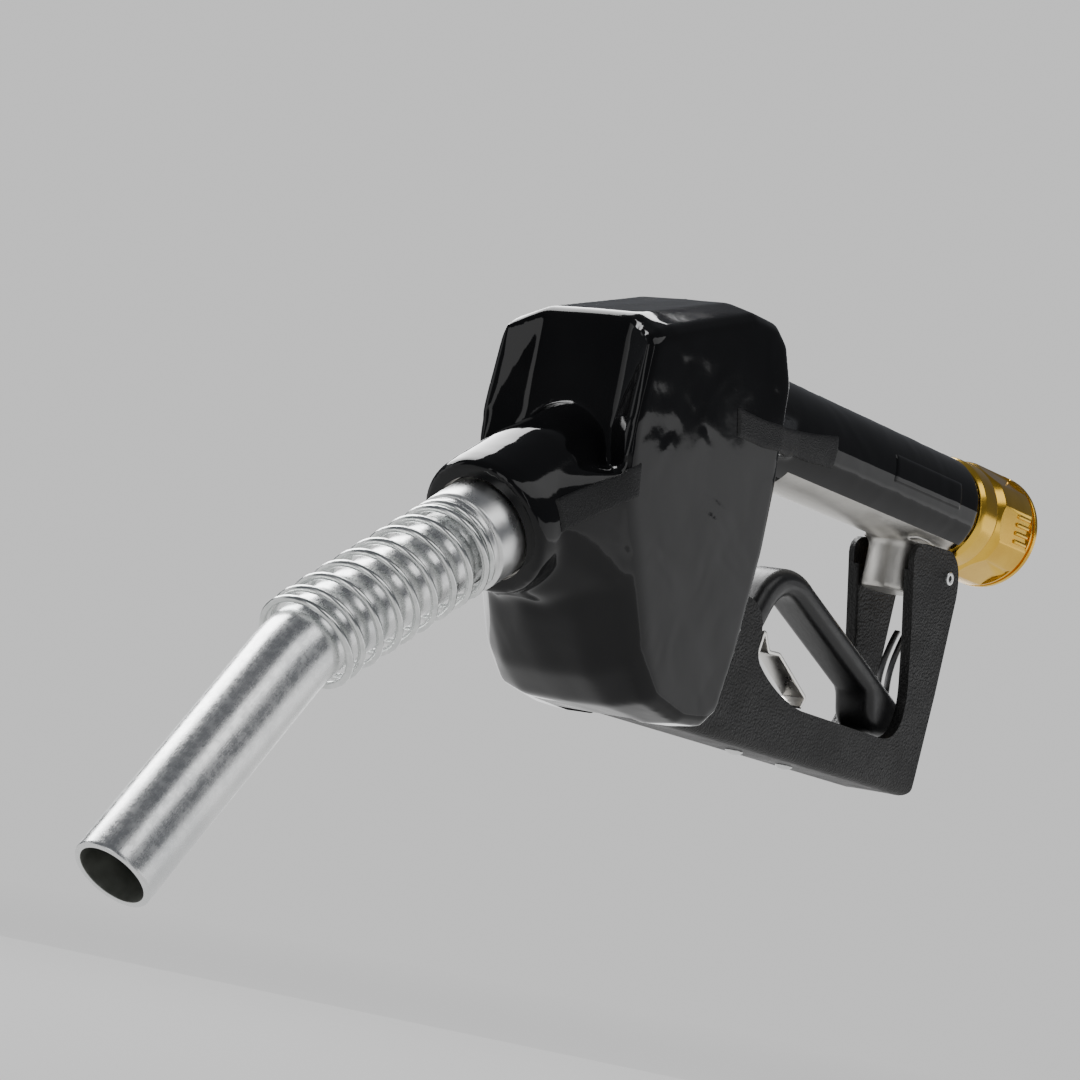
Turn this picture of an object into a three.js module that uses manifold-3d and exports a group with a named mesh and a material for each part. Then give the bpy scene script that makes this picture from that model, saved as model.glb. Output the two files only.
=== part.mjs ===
// Automatic shut-off fuel nozzle, in millimetres.
// The origin is the centre of the hose swivel's rear face. +X runs forward along the handle,
// +Y is the nozzle's left side and +Z is up.

import * as THREE from 'three';
import { mergeVertices } from 'three/addons/utils/BufferGeometryUtils.js';
import Module from 'manifold-3d';

const wasm = await Module();
wasm.setup();

// ---- driving dimensions -------------------------------------------------------------------

const gap = 0.3; // between pieces that touch
const slip = 0.5; // round a piece that moves
const roundSides = 28;
const smallSides = 14;

const swivel = {
  rimRadius: 20.7, collarRadius: 19.6, rearLength: 28, collarLength: 11.3, boreRadius: 10,
  spigotRadius: 13, spigotLength: 13, threadRadius: 15.5, threadDepth: 13, stemRadius: 13.7,
  stemLength: 22, hexAcross: 39.4, ribCount: 4, ribWidth: 1.5, ribPitch: 3, ribHeight: 0.7,
  ribLength: 9, ribFromRear: 6, grooveFromRear: 3.4, grooveDepth: 1.1, grooveWidth: 1.4, washer: 0.9,
};

const handle = { radius: 17, boreRadius: 11.5, frontX: 194 };
handle.rearX = swivel.rearLength + swivel.collarLength + swivel.washer + 3 * gap;

const guard = {
  halfWidth: 13.3, sheet: 2.2, floorZ: -102.6, frontX: 216, armDrop: 2.4, screwZ: -89, screwRadius: 2,
  screwHead: 3.8, screwHeadHeight: 2.2,
};
guard.inside = guard.halfWidth - guard.sheet;

const boss = { x: 59.5, radius: 9.75, bottomZ: -34, fillet: 1.1 };
const guardPin = { x: 43.4, z: -24.7, radius: 2.2, lugRadius: 5.2, lugClearance: 1.9, proud: 0.5 };
guardPin.lugHalfWidth = guard.inside - guardPin.lugClearance;

const spout = {
  radius: 12, wall: 1.9, neckLength: 83.2, tipLength: 91.2, bend: 18.1, bendRadius: 60, inside: 21.5,
};

const anchorSpring = { wire: 2, clearance: 1.7, length: 70, coils: 10 };
anchorSpring.radius = spout.radius + anchorSpring.clearance + anchorSpring.wire / 2;
const sensing = { radius: 1.6, bore: 0.8, tipInset: 26, inside: 12 };

const collar = { wall: 3.9, inside: 23, visible: 13, shoulder: 2, shoulderWall: 2.7 };
collar.radius = spout.radius + collar.wall;
collar.shoulderRadius = spout.radius + collar.shoulderWall;

const neck = { mouth: [290.9, -61.4], angle: 34.8, wall: 3.1, coverWall: 2.9, waistWall: 1.5, depth: 66 };
neck.radius = collar.radius + neck.wall;
neck.coverRadius = neck.radius + neck.coverWall;
neck.coverWaist = neck.radius + neck.waistWall;
neck.outletRadius = spout.radius + gap;

const cover = {
  halfWidth: 29.5, wall: 2.6, edgeRound: 5, sleeveWall: 1.7, slotClearance: 1, sleeveOpenFrontX: 158,
  guardSlotFrontX: 219, lipDepth: 2.2,
};
cover.sleeveRadius = handle.radius + gap + cover.sleeveWall;
cover.openingHalfWidth = guard.halfWidth + cover.slotClearance;

const valve = {
  x: 208, radius: 15.5, topZ: 14, chamberRadius: 13, seatZ: -13, seatThickness: 4, seatRadius: 7.5,
  lowerRadius: 11.5, floorZ: -32, bottomZ: -52, capFlange: 13.4, capThickness: 3.6, capHex: 8.5,
  capHexHeight: 3.6, capPlug: 4, guideRadius: 3.4, guideWall: 1.6, guideLength: 10,
};
const poppet = { radius: 10.4, thickness: 4.6, sealThickness: 1.6, guideLength: 9.5 };
const stem = { radius: 2.5, packingRadius: 5.2, packingLength: 5.5, glandFlange: 7.6, glandThickness: 3.4 };
const mainSpring = { wire: 1.4, radius: 8, coils: 4.5 };

const latch = {
  x: 238, radius: 14.2, topZ: 8, chamberRadius: 9.5, floorZ: 0, roof: 4, towerRadius: 8.2, towerBottomZ: -62,
  capRim: 3.2, domeRadius: 7.8, domeHeight: 6.4, domeWall: 1.4, diaphragm: 0.8, plateRadius: 6.8,
  plateThickness: 1.2, pinRadius: 1.5, pinBottomZ: -23, screwCircle: 11.8, screwCount: 4, screwRadius: 1.25,
  screwHead: 2.1, screwHeadHeight: 1.6, screwDepth: 7,
};
const plunger = {
  headRadius: 5.2, headTopZ: -9, headBottomZ: -24, rodRadius: 3.6, eyeHalfWidth: 4.6, eyeRadius: 5.5,
  rollerRadius: 1.3, rollerLength: 5, rollerOffset: 3.2, rollerZ: -17.5, bushingLength: 12, bushingRadius: 6.6,
};
const latchSpring = { wire: 0.8, radius: 4.45, coils: 7 };
const diaphragmSpring = { wire: 0.8, radius: 4.6, coils: 2.5 };

const lever = { pivotX: latch.x, pivotZ: -84, halfWidth: 8, pinRadius: 2, edgeRound: 2.6 };
const clip = { x: 53, z: -75, halfWidth: 4, thickness: 1, eyeRadius: 3, pinRadius: 1.4 };

guard.screwX = valve.x;
const skirt = { thickness: 1.8, length: 14 };
const rack = { sheet: 1.3, halfWidth: 4.5, rivetXs: [134.7, 103.3], rivetRadius: 1.8, rivetHead: 3, rivetDome: 1.3 };

const check = { seatLength: 5, seatFrom: 44.5, seatWall: 4, discClearance: 1, discThickness: 3, stemRadius: 2 };
check.seatBore = neck.outletRadius - gap - check.seatWall;
check.discRadius = neck.outletRadius - check.discClearance;
const checkSpring = { wire: 1.1, rim: 0.9, coils: 3 };
checkSpring.radius = check.discRadius - checkSpring.rim;
const lockScrew = { radius: 2.2, from: 12 };
const strainer = { fromRear: 26, length: 26, wall: 0.8 };

// ---- colours ------------------------------------------------------------------------------

const finish = (color, roughness, metalness) => ({ color, roughness, metalness });
const finishes = {
  castAluminium: finish(0xb5b0a6, 0.42, 0.9),
  blackVinyl: finish(0x0b0b0c, 0.12, 0),
  blackCoat: finish(0x1b1b1c, 0.6, 0.1),
  blackSatin: finish(0x161617, 0.38, 0.2),
  polished: finish(0xd2d3d4, 0.2, 1),
  zinc: finish(0xbfc1c4, 0.32, 1),
  springSteel: finish(0xb9bbbd, 0.25, 1),
  gold: finish(0xd9a92e, 0.28, 1),
  rubber: finish(0x1a1a1a, 0.8, 0),
  brass: finish(0xb99a4e, 0.35, 1),
  nickel: finish(0xd8d4cc, 0.18, 1),
  darkSteel: finish(0x4b4b4d, 0.35, 1),
};

// ---- geometry helpers ---------------------------------------------------------------------

function signedVolume(geometry) {
  const position = geometry.attributes.position;
  const index = geometry.index.array;
  const [a, b, c] = [new THREE.Vector3(), new THREE.Vector3(), new THREE.Vector3()];
  let sum = 0;
  for (let i = 0; i < index.length; i += 3) {
    a.fromBufferAttribute(position, index[i]);
    b.fromBufferAttribute(position, index[i + 1]);
    c.fromBufferAttribute(position, index[i + 2]);
    sum += a.dot(b.cross(c));
  }
  return sum / 6;
}

// Merges the shared vertices, drops the collapsed triangles and turns the faces outwards.
function closed(source) {
  const bare = source.index ? source.toNonIndexed() : source.clone();
  bare.deleteAttribute('normal');
  bare.deleteAttribute('uv');
  const merged = mergeVertices(bare, 1e-4);
  const kept = [];
  const old = merged.index.array;
  for (let i = 0; i < old.length; i += 3) {
    const [a, b, c] = [old[i], old[i + 1], old[i + 2]];
    if (a !== b && b !== c && c !== a) kept.push(a, b, c);
  }
  merged.setIndex(kept);
  if (signedVolume(merged) < 0) {
    for (let i = 0; i < kept.length; i += 3) [kept[i], kept[i + 1]] = [kept[i + 1], kept[i]];
    merged.setIndex(kept);
  }
  return merged;
}

function solid(source) {
  const geometry = closed(source);
  return new wasm.Manifold(new wasm.Mesh({
    numProp: 3,
    vertProperties: new Float32Array(geometry.attributes.position.array),
    triVerts: new Uint32Array(geometry.index.array),
  }));
}

function geometryOf(manifold) {
  const mesh = manifold.getMesh();
  const geometry = new THREE.BufferGeometry();
  geometry.setAttribute('position', new THREE.BufferAttribute(new Float32Array(mesh.vertProperties), 3));
  geometry.setIndex(new THREE.BufferAttribute(new Uint32Array(mesh.triVerts), 1));
  return geometry;
}

const join = (...solids) => solids.reduce((whole, next) => whole.add(next));
const cut = (whole, ...tools) => tools.reduce((rest, tool) => rest.subtract(tool), whole);
const cutAll = (whole, tools) => cut(whole, ...tools);

// Turns [radius, height] pairs about Z.
function turned(profile, sides = roundSides) {
  const points = profile.map(([radius, height]) => new THREE.Vector2(Math.max(radius, 0), height));
  return new THREE.LatheGeometry(points, sides).rotateX(Math.PI / 2);
}

const rod = (radius, from, to, sides) => turned([[0, from], [radius, from], [radius, to], [0, to]], sides);

const tube = (outer, inner, from, to, sides) =>
  turned([[inner, from], [outer, from], [outer, to], [inner, to], [inner, from]], sides);

const alongX = (geometry) => geometry.rotateY(Math.PI / 2);
const alongY = (geometry) => geometry.rotateX(-Math.PI / 2);
const at = (geometry, x, y, z) => geometry.translate(x, y, z);

function box(x0, x1, y0, y1, z0, z1) {
  const geometry = new THREE.BoxGeometry(x1 - x0, y1 - y0, z1 - z0);
  return geometry.translate((x0 + x1) / 2, (y0 + y1) / 2, (z0 + z1) / 2);
}

// Extrudes an outline drawn in X and Z across Y, between two Y values.
function slab(shape, y0, y1, round = 0, roundSteps = 2) {
  const geometry = new THREE.ExtrudeGeometry(shape, {
    depth: y1 - y0 - 2 * round,
    curveSegments: 6,
    bevelEnabled: round > 0,
    bevelThickness: round,
    bevelSize: round,
    bevelOffset: -round,
    bevelSegments: roundSteps,
  });
  return geometry.rotateX(Math.PI / 2).translate(0, y1 - round, 0);
}

const outline = (points) => new THREE.Shape(points.map(([x, z]) => new THREE.Vector2(x, z)));

// Moves each side of an outline inwards by the same distance.
function inset(points, distance) {
  const turn = Math.sign(THREE.ShapeUtils.area(points.map(([x, z]) => new THREE.Vector2(x, z))));
  return points.map((point, i) => {
    const before = points[(i + points.length - 1) % points.length];
    const after = points[(i + 1) % points.length];
    const normal = ([ax, az], [bx, bz]) => {
      const length = Math.hypot(bx - ax, bz - az);
      return [(-turn * (bz - az)) / length, (turn * (bx - ax)) / length];
    };
    const [n, m] = [normal(before, point), normal(point, after)];
    const scale = distance / (1 + n[0] * m[0] + n[1] * m[1]);
    return [point[0] + (n[0] + m[0]) * scale, point[1] + (n[1] + m[1]) * scale];
  });
}

function swept(path, section, steps) {
  return new THREE.ExtrudeGeometry(section, { steps, extrudePath: path, curveSegments: 1, bevelEnabled: false });
}

function circle(radius, sides) {
  const corners = Array.from({ length: sides }, (_, i) => (i * 2 * Math.PI) / sides);
  return new THREE.Shape(corners.map((t) => new THREE.Vector2(radius * Math.cos(t), radius * Math.sin(t))));
}

// A strip of sheet that follows points in X and Z, as an outline with square ends.
function stripOutline(points, thickness) {
  const side = (sign) => points.map((point, i) => {
    const before = points[Math.max(i - 1, 0)];
    const after = points[Math.min(i + 1, points.length - 1)];
    const unit = ([ax, az], [bx, bz]) => {
      const length = Math.hypot(bx - ax, bz - az) || 1;
      return [(bx - ax) / length, (bz - az) / length];
    };
    const d = i === 0 ? unit(point, after) : unit(before, point);
    const e = i === points.length - 1 ? d : unit(point, after);
    const scale = (sign * thickness) / 2 / (1 + d[0] * e[0] + d[1] * e[1]);
    return [point[0] - (d[1] + e[1]) * scale, point[1] + (d[0] + e[0]) * scale];
  });
  return outline([...side(1), ...side(-1).reverse()]);
}

class Helix extends THREE.Curve {
  constructor(radius, from, to, coils) {
    super();
    Object.assign(this, { radius, from, to, coils });
  }

  getPoint(t, target = new THREE.Vector3()) {
    const angle = t * this.coils * 2 * Math.PI;
    const height = this.from + (this.to - this.from) * t;
    return target.set(this.radius * Math.cos(angle), this.radius * Math.sin(angle), height);
  }
}

// A compression spring that stands between two heights, seated face to face.
function coilSpring({ wire, radius, coils }, from, to, stepsPerCoil = 10, sides = 4) {
  const path = new Helix(radius, from + wire / 2, to - wire / 2, coils);
  return swept(path, circle(wire / 2, sides), Math.round(coils * stepsPerCoil));
}

function ring(radius, wire, height, sides = roundSides) {
  const corners = 6;
  const profile = Array.from({ length: corners + 1 }, (_, i) => {
    const t = (-i * 2 * Math.PI) / corners;
    return [radius + (wire / 2) * Math.cos(t), height + (wire / 2) * Math.sin(t)];
  });
  return turned(profile, sides);
}

// ---- assembly -----------------------------------------------------------------------------

const nozzle = new THREE.Group();
const neckFrame = new THREE.Group();
neckFrame.position.set(neck.mouth[0], 0, neck.mouth[1]);
neckFrame.rotation.y = Math.PI / 2 + THREE.MathUtils.degToRad(neck.angle);
neckFrame.updateMatrix();
nozzle.add(neckFrame);

// Names one piece. Pieces of the neck are drawn with +Z out of the mouth and -X upwards.
function piece(name, source, look, parent = nozzle) {
  const geometry = source.isBufferGeometry ? closed(source) : geometryOf(source);
  const mesh = new THREE.Mesh(geometry, new THREE.MeshStandardMaterial(look));
  mesh.name = name;
  parent.add(mesh);
}

const inNeck = (geometry) => geometry.applyMatrix4(neckFrame.matrix);
const onValve = (geometry) => at(geometry, valve.x, 0, 0);
const onLatch = (geometry) => at(geometry, latch.x, 0, 0);

// ---- casting ------------------------------------------------------------------------------

const lowerDuctZ = (valve.seatZ - valve.seatThickness + valve.floorZ) / 2;
const capFloorZ = valve.topZ + gap - valve.capPlug;
const skirtInner = guard.inside - gap - skirt.thickness;
const mouthRecess = cover.lipDepth + gap;

function guardLug() {
  const webTop = -handle.radius + 5;
  const shape = new THREE.Shape();
  shape.moveTo(guardPin.x + guardPin.lugRadius, guardPin.z);
  shape.lineTo(boss.x, webTop - 6);
  shape.lineTo(boss.x, webTop);
  shape.lineTo(guardPin.x - 2, webTop);
  shape.lineTo(guardPin.x - 2.4, guardPin.z + 4.6);
  shape.absarc(guardPin.x, guardPin.z, guardPin.lugRadius, (2.15 * Math.PI) / 3, 2 * Math.PI, false);
  return slab(shape, -guardPin.lugHalfWidth, guardPin.lugHalfWidth);
}

function bossPost() {
  const top = -handle.boreRadius - 2;
  const steps = 3;
  const flare = Array.from({ length: steps + 1 }, (_, i) => {
    const t = (i / steps) * (Math.PI / 2);
    return [boss.radius + boss.fillet * (1 - Math.cos(t)), -handle.radius - boss.fillet * (1 - Math.sin(t))];
  });
  return at(turned([[0, boss.bottomZ], [boss.radius - 0.8, boss.bottomZ], [boss.radius, boss.bottomZ + 0.8],
    ...flare, [0, top]], 28), boss.x, 0, 0);
}

function castingOutside() {
  const handleTube = alongX(rod(handle.radius, handle.rearX, handle.frontX));
  const valveTower = onValve(rod(valve.radius, valve.bottomZ, valve.topZ));
  const latchTower = onLatch(rod(latch.radius, latch.floorZ - latch.roof - 4, latch.topZ));
  const plungerPost = onLatch(rod(latch.towerRadius + 1.5, latch.towerBottomZ, latch.floorZ, 24));
  const neckTube = inNeck(rod(neck.radius, -neck.depth, -mouthRecess));
  const lower = box(valve.x, latch.x, -latch.towerRadius, latch.towerRadius, valve.bottomZ + 6, -20);
  return join(...[handleTube, valveTower, latchTower, plungerPost, neckTube, lower, bossPost(), guardLug()].map(solid));
}

function castingPassages() {
  const inlet = alongX(rod(handle.boreRadius, handle.rearX + swivel.stemLength, valve.x));
  const thread = alongX(rod(swivel.stemRadius + gap, handle.rearX - 1, handle.rearX + swivel.stemLength + 1));
  const chamber = onValve(rod(valve.chamberRadius, valve.seatZ, valve.topZ + 1));
  const seat = onValve(rod(valve.seatRadius, valve.seatZ - valve.seatThickness - 1, valve.seatZ + 1));
  const lower = onValve(rod(valve.lowerRadius, valve.floorZ, valve.seatZ - valve.seatThickness));
  const duct = alongX(rod(6.5, valve.x, latch.x)).translate(0, 0, lowerDuctZ);
  const outlet = inNeck(rod(neck.outletRadius, -neck.depth + 2, -collar.inside));
  return [inlet, thread, chamber, seat, lower, duct, outlet].map(solid);
}

function skirtPlates() {
  const half = skirt.length / 2;
  return [1, -1].map((side) => {
    const [near, far] = [side * skirtInner, side * (skirtInner + skirt.thickness)].sort((a, b) => a - b);
    return solid(box(guard.screwX - half, guard.screwX + half, near, far, guard.screwZ - 6, valve.bottomZ + 8));
  });
}

function casting() {
  const passages = cutAll(castingOutside(), castingPassages());
  const tower = solid(onLatch(rod(latch.towerRadius, latch.towerBottomZ + 2, latch.floorZ - 1, 24)));
  const whole = join(passages, tower, ...skirtPlates());
  const collarSeat = inNeck(rod(collar.radius + gap, -collar.inside - gap, 1));
  const lockHole = inNeck(alongX(rod(lockScrew.radius + gap, -neck.radius - 1, -collar.radius, smallSides))
    .translate(0, 0, -lockScrew.from));
  const packingBore = onValve(rod(stem.packingRadius + gap, valve.bottomZ - 1, valve.bottomZ + 11, smallSides));
  const stemBore = onValve(rod(stem.radius + slip, valve.bottomZ, valve.floorZ + 1, smallSides));
  const diaphragmBore = onLatch(rod(latch.chamberRadius, latch.floorZ, latch.topZ + 1));
  const pinBore = onLatch(rod(latch.pinRadius + slip, latch.floorZ - 12, latch.floorZ + 1, smallSides));
  const plungerBore = onLatch(rod(plunger.headRadius + slip, latch.towerBottomZ, latch.floorZ - latch.roof, 24));
  const bushingBore = onLatch(rod(plunger.bushingRadius + gap, latch.towerBottomZ - 1,
    latch.towerBottomZ + plunger.bushingLength + gap, 24));
  const pinHole = alongY(rod(guardPin.radius + gap, -20, 20, smallSides)).translate(guardPin.x, 0, guardPin.z);
  const screwHole = alongY(rod(guard.screwRadius + gap, -20, 20, smallSides))
    .translate(guard.screwX, 0, guard.screwZ);
  const capHoles = screwPlaces().map(([x, y]) =>
    at(rod(latch.screwRadius + gap, latch.topZ - latch.screwDepth, latch.topZ + 1, 10), x, y, 0));
  return cutAll(whole, [collarSeat, lockHole, packingBore, stemBore, diaphragmBore, pinBore, plungerBore,
    bushingBore, pinHole, screwHole, ...capHoles].map(solid));
}

function screwPlaces() {
  return Array.from({ length: latch.screwCount }, (_, i) => {
    const angle = ((i + 0.5) * 2 * Math.PI) / latch.screwCount;
    return [latch.x + latch.screwCircle * Math.cos(angle), latch.screwCircle * Math.sin(angle)];
  });
}

piece('nozzle_body', casting(), finishes.castAluminium);

// ---- vinyl cover --------------------------------------------------------------------------

const headOutline = [
  [262.5, 10], [253, 17.5], [214, 29.5], [200, 27.5], [193, 22], [187, 10], [184.5, -24], [185, -45], [188, -77],
  [191.5, -97], [198, -102], [211, -104], [236, -103.5], [245, -96.5], [259, -85], [271, -77], [266, -45], [258.5, -24],
];

function coverShell() {
  const outer = join(
    solid(slab(outline(headOutline), -cover.halfWidth, cover.halfWidth, cover.edgeRound)),
    solid(inNeck(turned([[0, -neck.depth], [neck.coverWaist, -neck.depth], [neck.coverWaist, -44],
      [neck.coverRadius + 0.4, -27], [neck.coverRadius + 0.4, -5], [neck.coverRadius, -1], [neck.coverRadius - 1, 0],
      [0, 0]]))),
    solid(alongX(rod(cover.sleeveRadius, handle.rearX, valve.x))),
  );
  const halfInside = cover.halfWidth - cover.wall;
  const inner = join(
    solid(slab(outline(inset(headOutline, cover.wall)), -halfInside, halfInside, cover.edgeRound - cover.wall)),
    solid(inNeck(rod(neck.radius + gap, -neck.depth, -cover.lipDepth))),
    solid(alongX(rod(cover.sleeveRadius - cover.sleeveWall, handle.rearX - 1, valve.x))),
  );
  const half = cover.openingHalfWidth;
  const below = -120;
  const lip = inNeck(rod(collar.radius + 2 * gap, -10, 10));
  const rearSlot = box(170, 205, -half, half, below, -handle.radius - 1);
  const floorSlot = box(170, cover.guardSlotFrontX, -half, half, below, guard.floorZ + 8);
  const sleeveSlot = box(handle.rearX - 5, cover.sleeveOpenFrontX, -half, half, below, -8);
  return cutAll(cut(outer, inner), [lip, rearSlot, floorSlot, sleeveSlot].map(solid));
}

piece('scuff_cover', coverShell(), finishes.blackVinyl);

// ---- hose swivel --------------------------------------------------------------------------

const collarX = swivel.rearLength + gap;
const stemEndX = handle.rearX + swivel.stemLength - gap;

function swivelFront() {
  const shoulder = collarX + swivel.collarLength;
  return alongX(turned([
    [swivel.boreRadius, collarX - swivel.spigotLength], [swivel.spigotRadius, collarX - swivel.spigotLength],
    [swivel.spigotRadius, collarX], [swivel.collarRadius - 0.8, collarX], [swivel.collarRadius, collarX + 0.8],
    [swivel.collarRadius, shoulder - 1.5], [swivel.collarRadius - 1, shoulder], [swivel.stemRadius, shoulder],
    [swivel.stemRadius, stemEndX], [swivel.boreRadius, stemEndX],
    [swivel.boreRadius, collarX - swivel.spigotLength],
  ]));
}

function swivelRear() {
  const { rimRadius: rim, rearLength: length, grooveFromRear: groove, grooveWidth: width, grooveDepth: depth } = swivel;
  const body = solid(alongX(turned([
    [0, 0], [rim - 1, 0], [rim, 1], [rim, groove - width / 2], [rim - depth, groove - width / 2],
    [rim - depth, groove + width / 2], [rim, groove + width / 2], [rim, length - 4], [rim - 1.8, length], [0, length],
  ])));
  const hexFlats = solid(alongX(rod(swivel.hexAcross / 2 / Math.cos(Math.PI / 6), -1, length + 1, 6)));
  const rimRing = solid(alongX(rod(rim + 1, -1, groove + width)));
  const shaped = body.intersect(join(hexFlats, rimRing));
  const ribs = [];
  for (let face = 0; face < 6; face += 1) {
    for (let i = 0; i < swivel.ribCount; i += 1) {
      const y = (i - (swivel.ribCount - 1) / 2) * swivel.ribPitch;
      const rib = box(swivel.ribFromRear, swivel.ribFromRear + swivel.ribLength, y - swivel.ribWidth / 2,
        y + swivel.ribWidth / 2, swivel.hexAcross / 2 - 2, swivel.hexAcross / 2 + swivel.ribHeight);
      ribs.push(solid(rib.rotateX(((face + 0.5) * Math.PI) / 3)));
    }
  }
  const threadBore = alongX(rod(swivel.threadRadius, -1, swivel.threadDepth));
  const spigotBore = alongX(rod(swivel.spigotRadius + slip, 1, length + 1));
  return cutAll(join(shaped, ...ribs), [threadBore, spigotBore].map(solid));
}

piece('swivel_front', swivelFront(), finishes.gold);
piece('swivel_rear', swivelRear(), finishes.gold);
piece('swivel_washer', alongX(tube(handle.radius - gap, swivel.stemRadius + gap, handle.rearX - gap - swivel.washer,
  handle.rearX - gap)), finishes.rubber);

function strainerCup() {
  const from = handle.rearX + strainer.fromRear;
  const to = from + strainer.length;
  const outer = handle.boreRadius - gap;
  return alongX(turned([
    [outer - strainer.wall, from], [outer, from], [outer - 4, to], [0, to], [0, to - strainer.wall],
    [outer - 4 - strainer.wall, to - strainer.wall], [outer - strainer.wall, from],
  ]));
}

piece('inlet_strainer', strainerCup(), finishes.springSteel);

// ---- main valve ---------------------------------------------------------------------------

const poppetBottomZ = valve.seatZ + gap;
const poppetBodyZ = poppetBottomZ + poppet.sealThickness + gap;
const poppetTopZ = poppetBodyZ + poppet.thickness - poppet.sealThickness;
const leverTopZ = lever.pivotZ + 7.5;

function bodyCap() {
  const flangeZ = valve.topZ + gap;
  const guideOuter = valve.guideRadius + valve.guideWall;
  const disc = onValve(turned([
    [0, capFloorZ], [valve.chamberRadius - 1.6, capFloorZ],
    [valve.chamberRadius - 1.6, capFloorZ + 2], [valve.chamberRadius - gap, capFloorZ + 2],
    [valve.chamberRadius - gap, flangeZ], [valve.capFlange, flangeZ],
    [valve.capFlange, flangeZ + valve.capThickness - 0.8], [valve.capFlange - 0.8, flangeZ + valve.capThickness],
    [0, flangeZ + valve.capThickness],
  ]));
  const hex = onValve(rod(valve.capHex, flangeZ, flangeZ + valve.capThickness + valve.capHexHeight, 6));
  const sleeve = onValve(rod(guideOuter, capFloorZ - valve.guideLength, capFloorZ + 1, smallSides));
  const bore = onValve(rod(valve.guideRadius, capFloorZ - valve.guideLength - 1, capFloorZ + 1.5, smallSides));
  return cut(join(solid(disc), solid(hex), solid(sleeve)), solid(bore));
}

piece('body_cap', bodyCap(), finishes.castAluminium);
piece('body_cap_ring', onValve(ring(valve.chamberRadius - 0.9, 1, capFloorZ + 1.3 - gap)), finishes.rubber);

piece('main_poppet', onValve(turned([
  [0, poppetBodyZ], [poppet.radius, poppetBodyZ], [poppet.radius, poppetTopZ], [4.5, poppetTopZ],
  [valve.guideRadius - slip, poppetTopZ + 1.5], [valve.guideRadius - slip, poppetTopZ + poppet.guideLength],
  [0, poppetTopZ + poppet.guideLength],
])), finishes.brass);
piece('poppet_seal', onValve(tube(poppet.radius - 0.4, stem.radius + gap, poppetBottomZ,
  poppetBottomZ + poppet.sealThickness)), finishes.rubber);
piece('main_spring', onValve(coilSpring(mainSpring, poppetTopZ + gap, capFloorZ - gap)), finishes.springSteel);

piece('main_stem', onValve(turned([
  [0, leverTopZ + gap], [1.6, leverTopZ + gap + 0.5], [stem.radius, leverTopZ + gap + 2],
  [stem.radius, poppetBodyZ - gap], [0, poppetBodyZ - gap],
], smallSides)), finishes.polished);

const packingZ = valve.bottomZ + 11 - gap - stem.packingLength;
piece('stem_packing', onValve(tube(stem.packingRadius, stem.radius + gap, packingZ, packingZ + stem.packingLength,
  smallSides)), finishes.rubber);

function packingGland() {
  const flangeZ = valve.bottomZ - gap;
  const body = join(
    solid(onValve(rod(stem.packingRadius, flangeZ - 1, packingZ - gap, smallSides))),
    solid(onValve(rod(stem.glandFlange, flangeZ - stem.glandThickness, flangeZ, 6))),
  );
  return cut(body, solid(onValve(rod(stem.radius + slip, flangeZ - 10, packingZ + 1, smallSides))));
}

piece('packing_gland', packingGland(), finishes.brass);

// ---- shut-off diaphragm and latch ---------------------------------------------------------

const diaphragmZ = latch.topZ + gap;
const latchCapZ = diaphragmZ + latch.diaphragm + gap;
const plateZ = latchCapZ;
const domeRoofZ = latchCapZ + latch.domeHeight - latch.domeWall;

function diaphragmDisc() {
  const disc = onLatch(tube(latch.radius - 0.2, latch.pinRadius + gap, diaphragmZ, diaphragmZ + latch.diaphragm));
  const holes = screwPlaces().map(([x, y]) => solid(at(rod(latch.screwRadius + gap, 0, 20, 10), x, y, 0)));
  return cutAll(solid(disc), holes);
}

function diaphragmCap() {
  const outer = onLatch(turned([
    [0, latchCapZ], [latch.radius - 0.2, latchCapZ], [latch.radius - 0.2, latchCapZ + latch.capRim],
    [latch.domeRadius + 1, latchCapZ + latch.capRim], [latch.domeRadius, latchCapZ + latch.capRim + 1],
    [latch.domeRadius - 1, latchCapZ + latch.domeHeight], [0, latchCapZ + latch.domeHeight],
  ]));
  const hollow = onLatch(rod(latch.domeRadius - latch.domeWall + 0.9, latchCapZ - 1, domeRoofZ));
  const holes = screwPlaces().map(([x, y]) => at(rod(latch.screwRadius + gap, 0, 20, 10), x, y, 0));
  return cutAll(solid(outer), [hollow, ...holes].map(solid));
}

piece('diaphragm', diaphragmDisc(), finishes.rubber);
piece('diaphragm_cap', diaphragmCap(), finishes.castAluminium);
piece('diaphragm_spring', onLatch(coilSpring(diaphragmSpring, plateZ + latch.plateThickness + gap,
  domeRoofZ - gap)), finishes.springSteel);
piece('latch_pin', onLatch(turned([
  [0, latch.pinBottomZ], [latch.pinRadius - 0.4, latch.pinBottomZ], [latch.pinRadius, latch.pinBottomZ + 1],
  [latch.pinRadius, plateZ], [latch.plateRadius, plateZ], [latch.plateRadius, plateZ + latch.plateThickness],
  [0, plateZ + latch.plateThickness],
], smallSides)), finishes.polished);

screwPlaces().forEach(([x, y], i) => {
  const headZ = latchCapZ + latch.capRim + gap;
  piece(`cap_screw_${i + 1}`, at(turned([
    [0, latch.topZ - latch.screwDepth + 1], [latch.screwRadius, latch.topZ - latch.screwDepth + 1],
    [latch.screwRadius, headZ], [latch.screwHead, headZ], [latch.screwHead, headZ + latch.screwHeadHeight - 0.5],
    [latch.screwHead - 0.6, headZ + latch.screwHeadHeight], [0, headZ + latch.screwHeadHeight],
  ], 12), x, y, 0), finishes.zinc);
});

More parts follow.
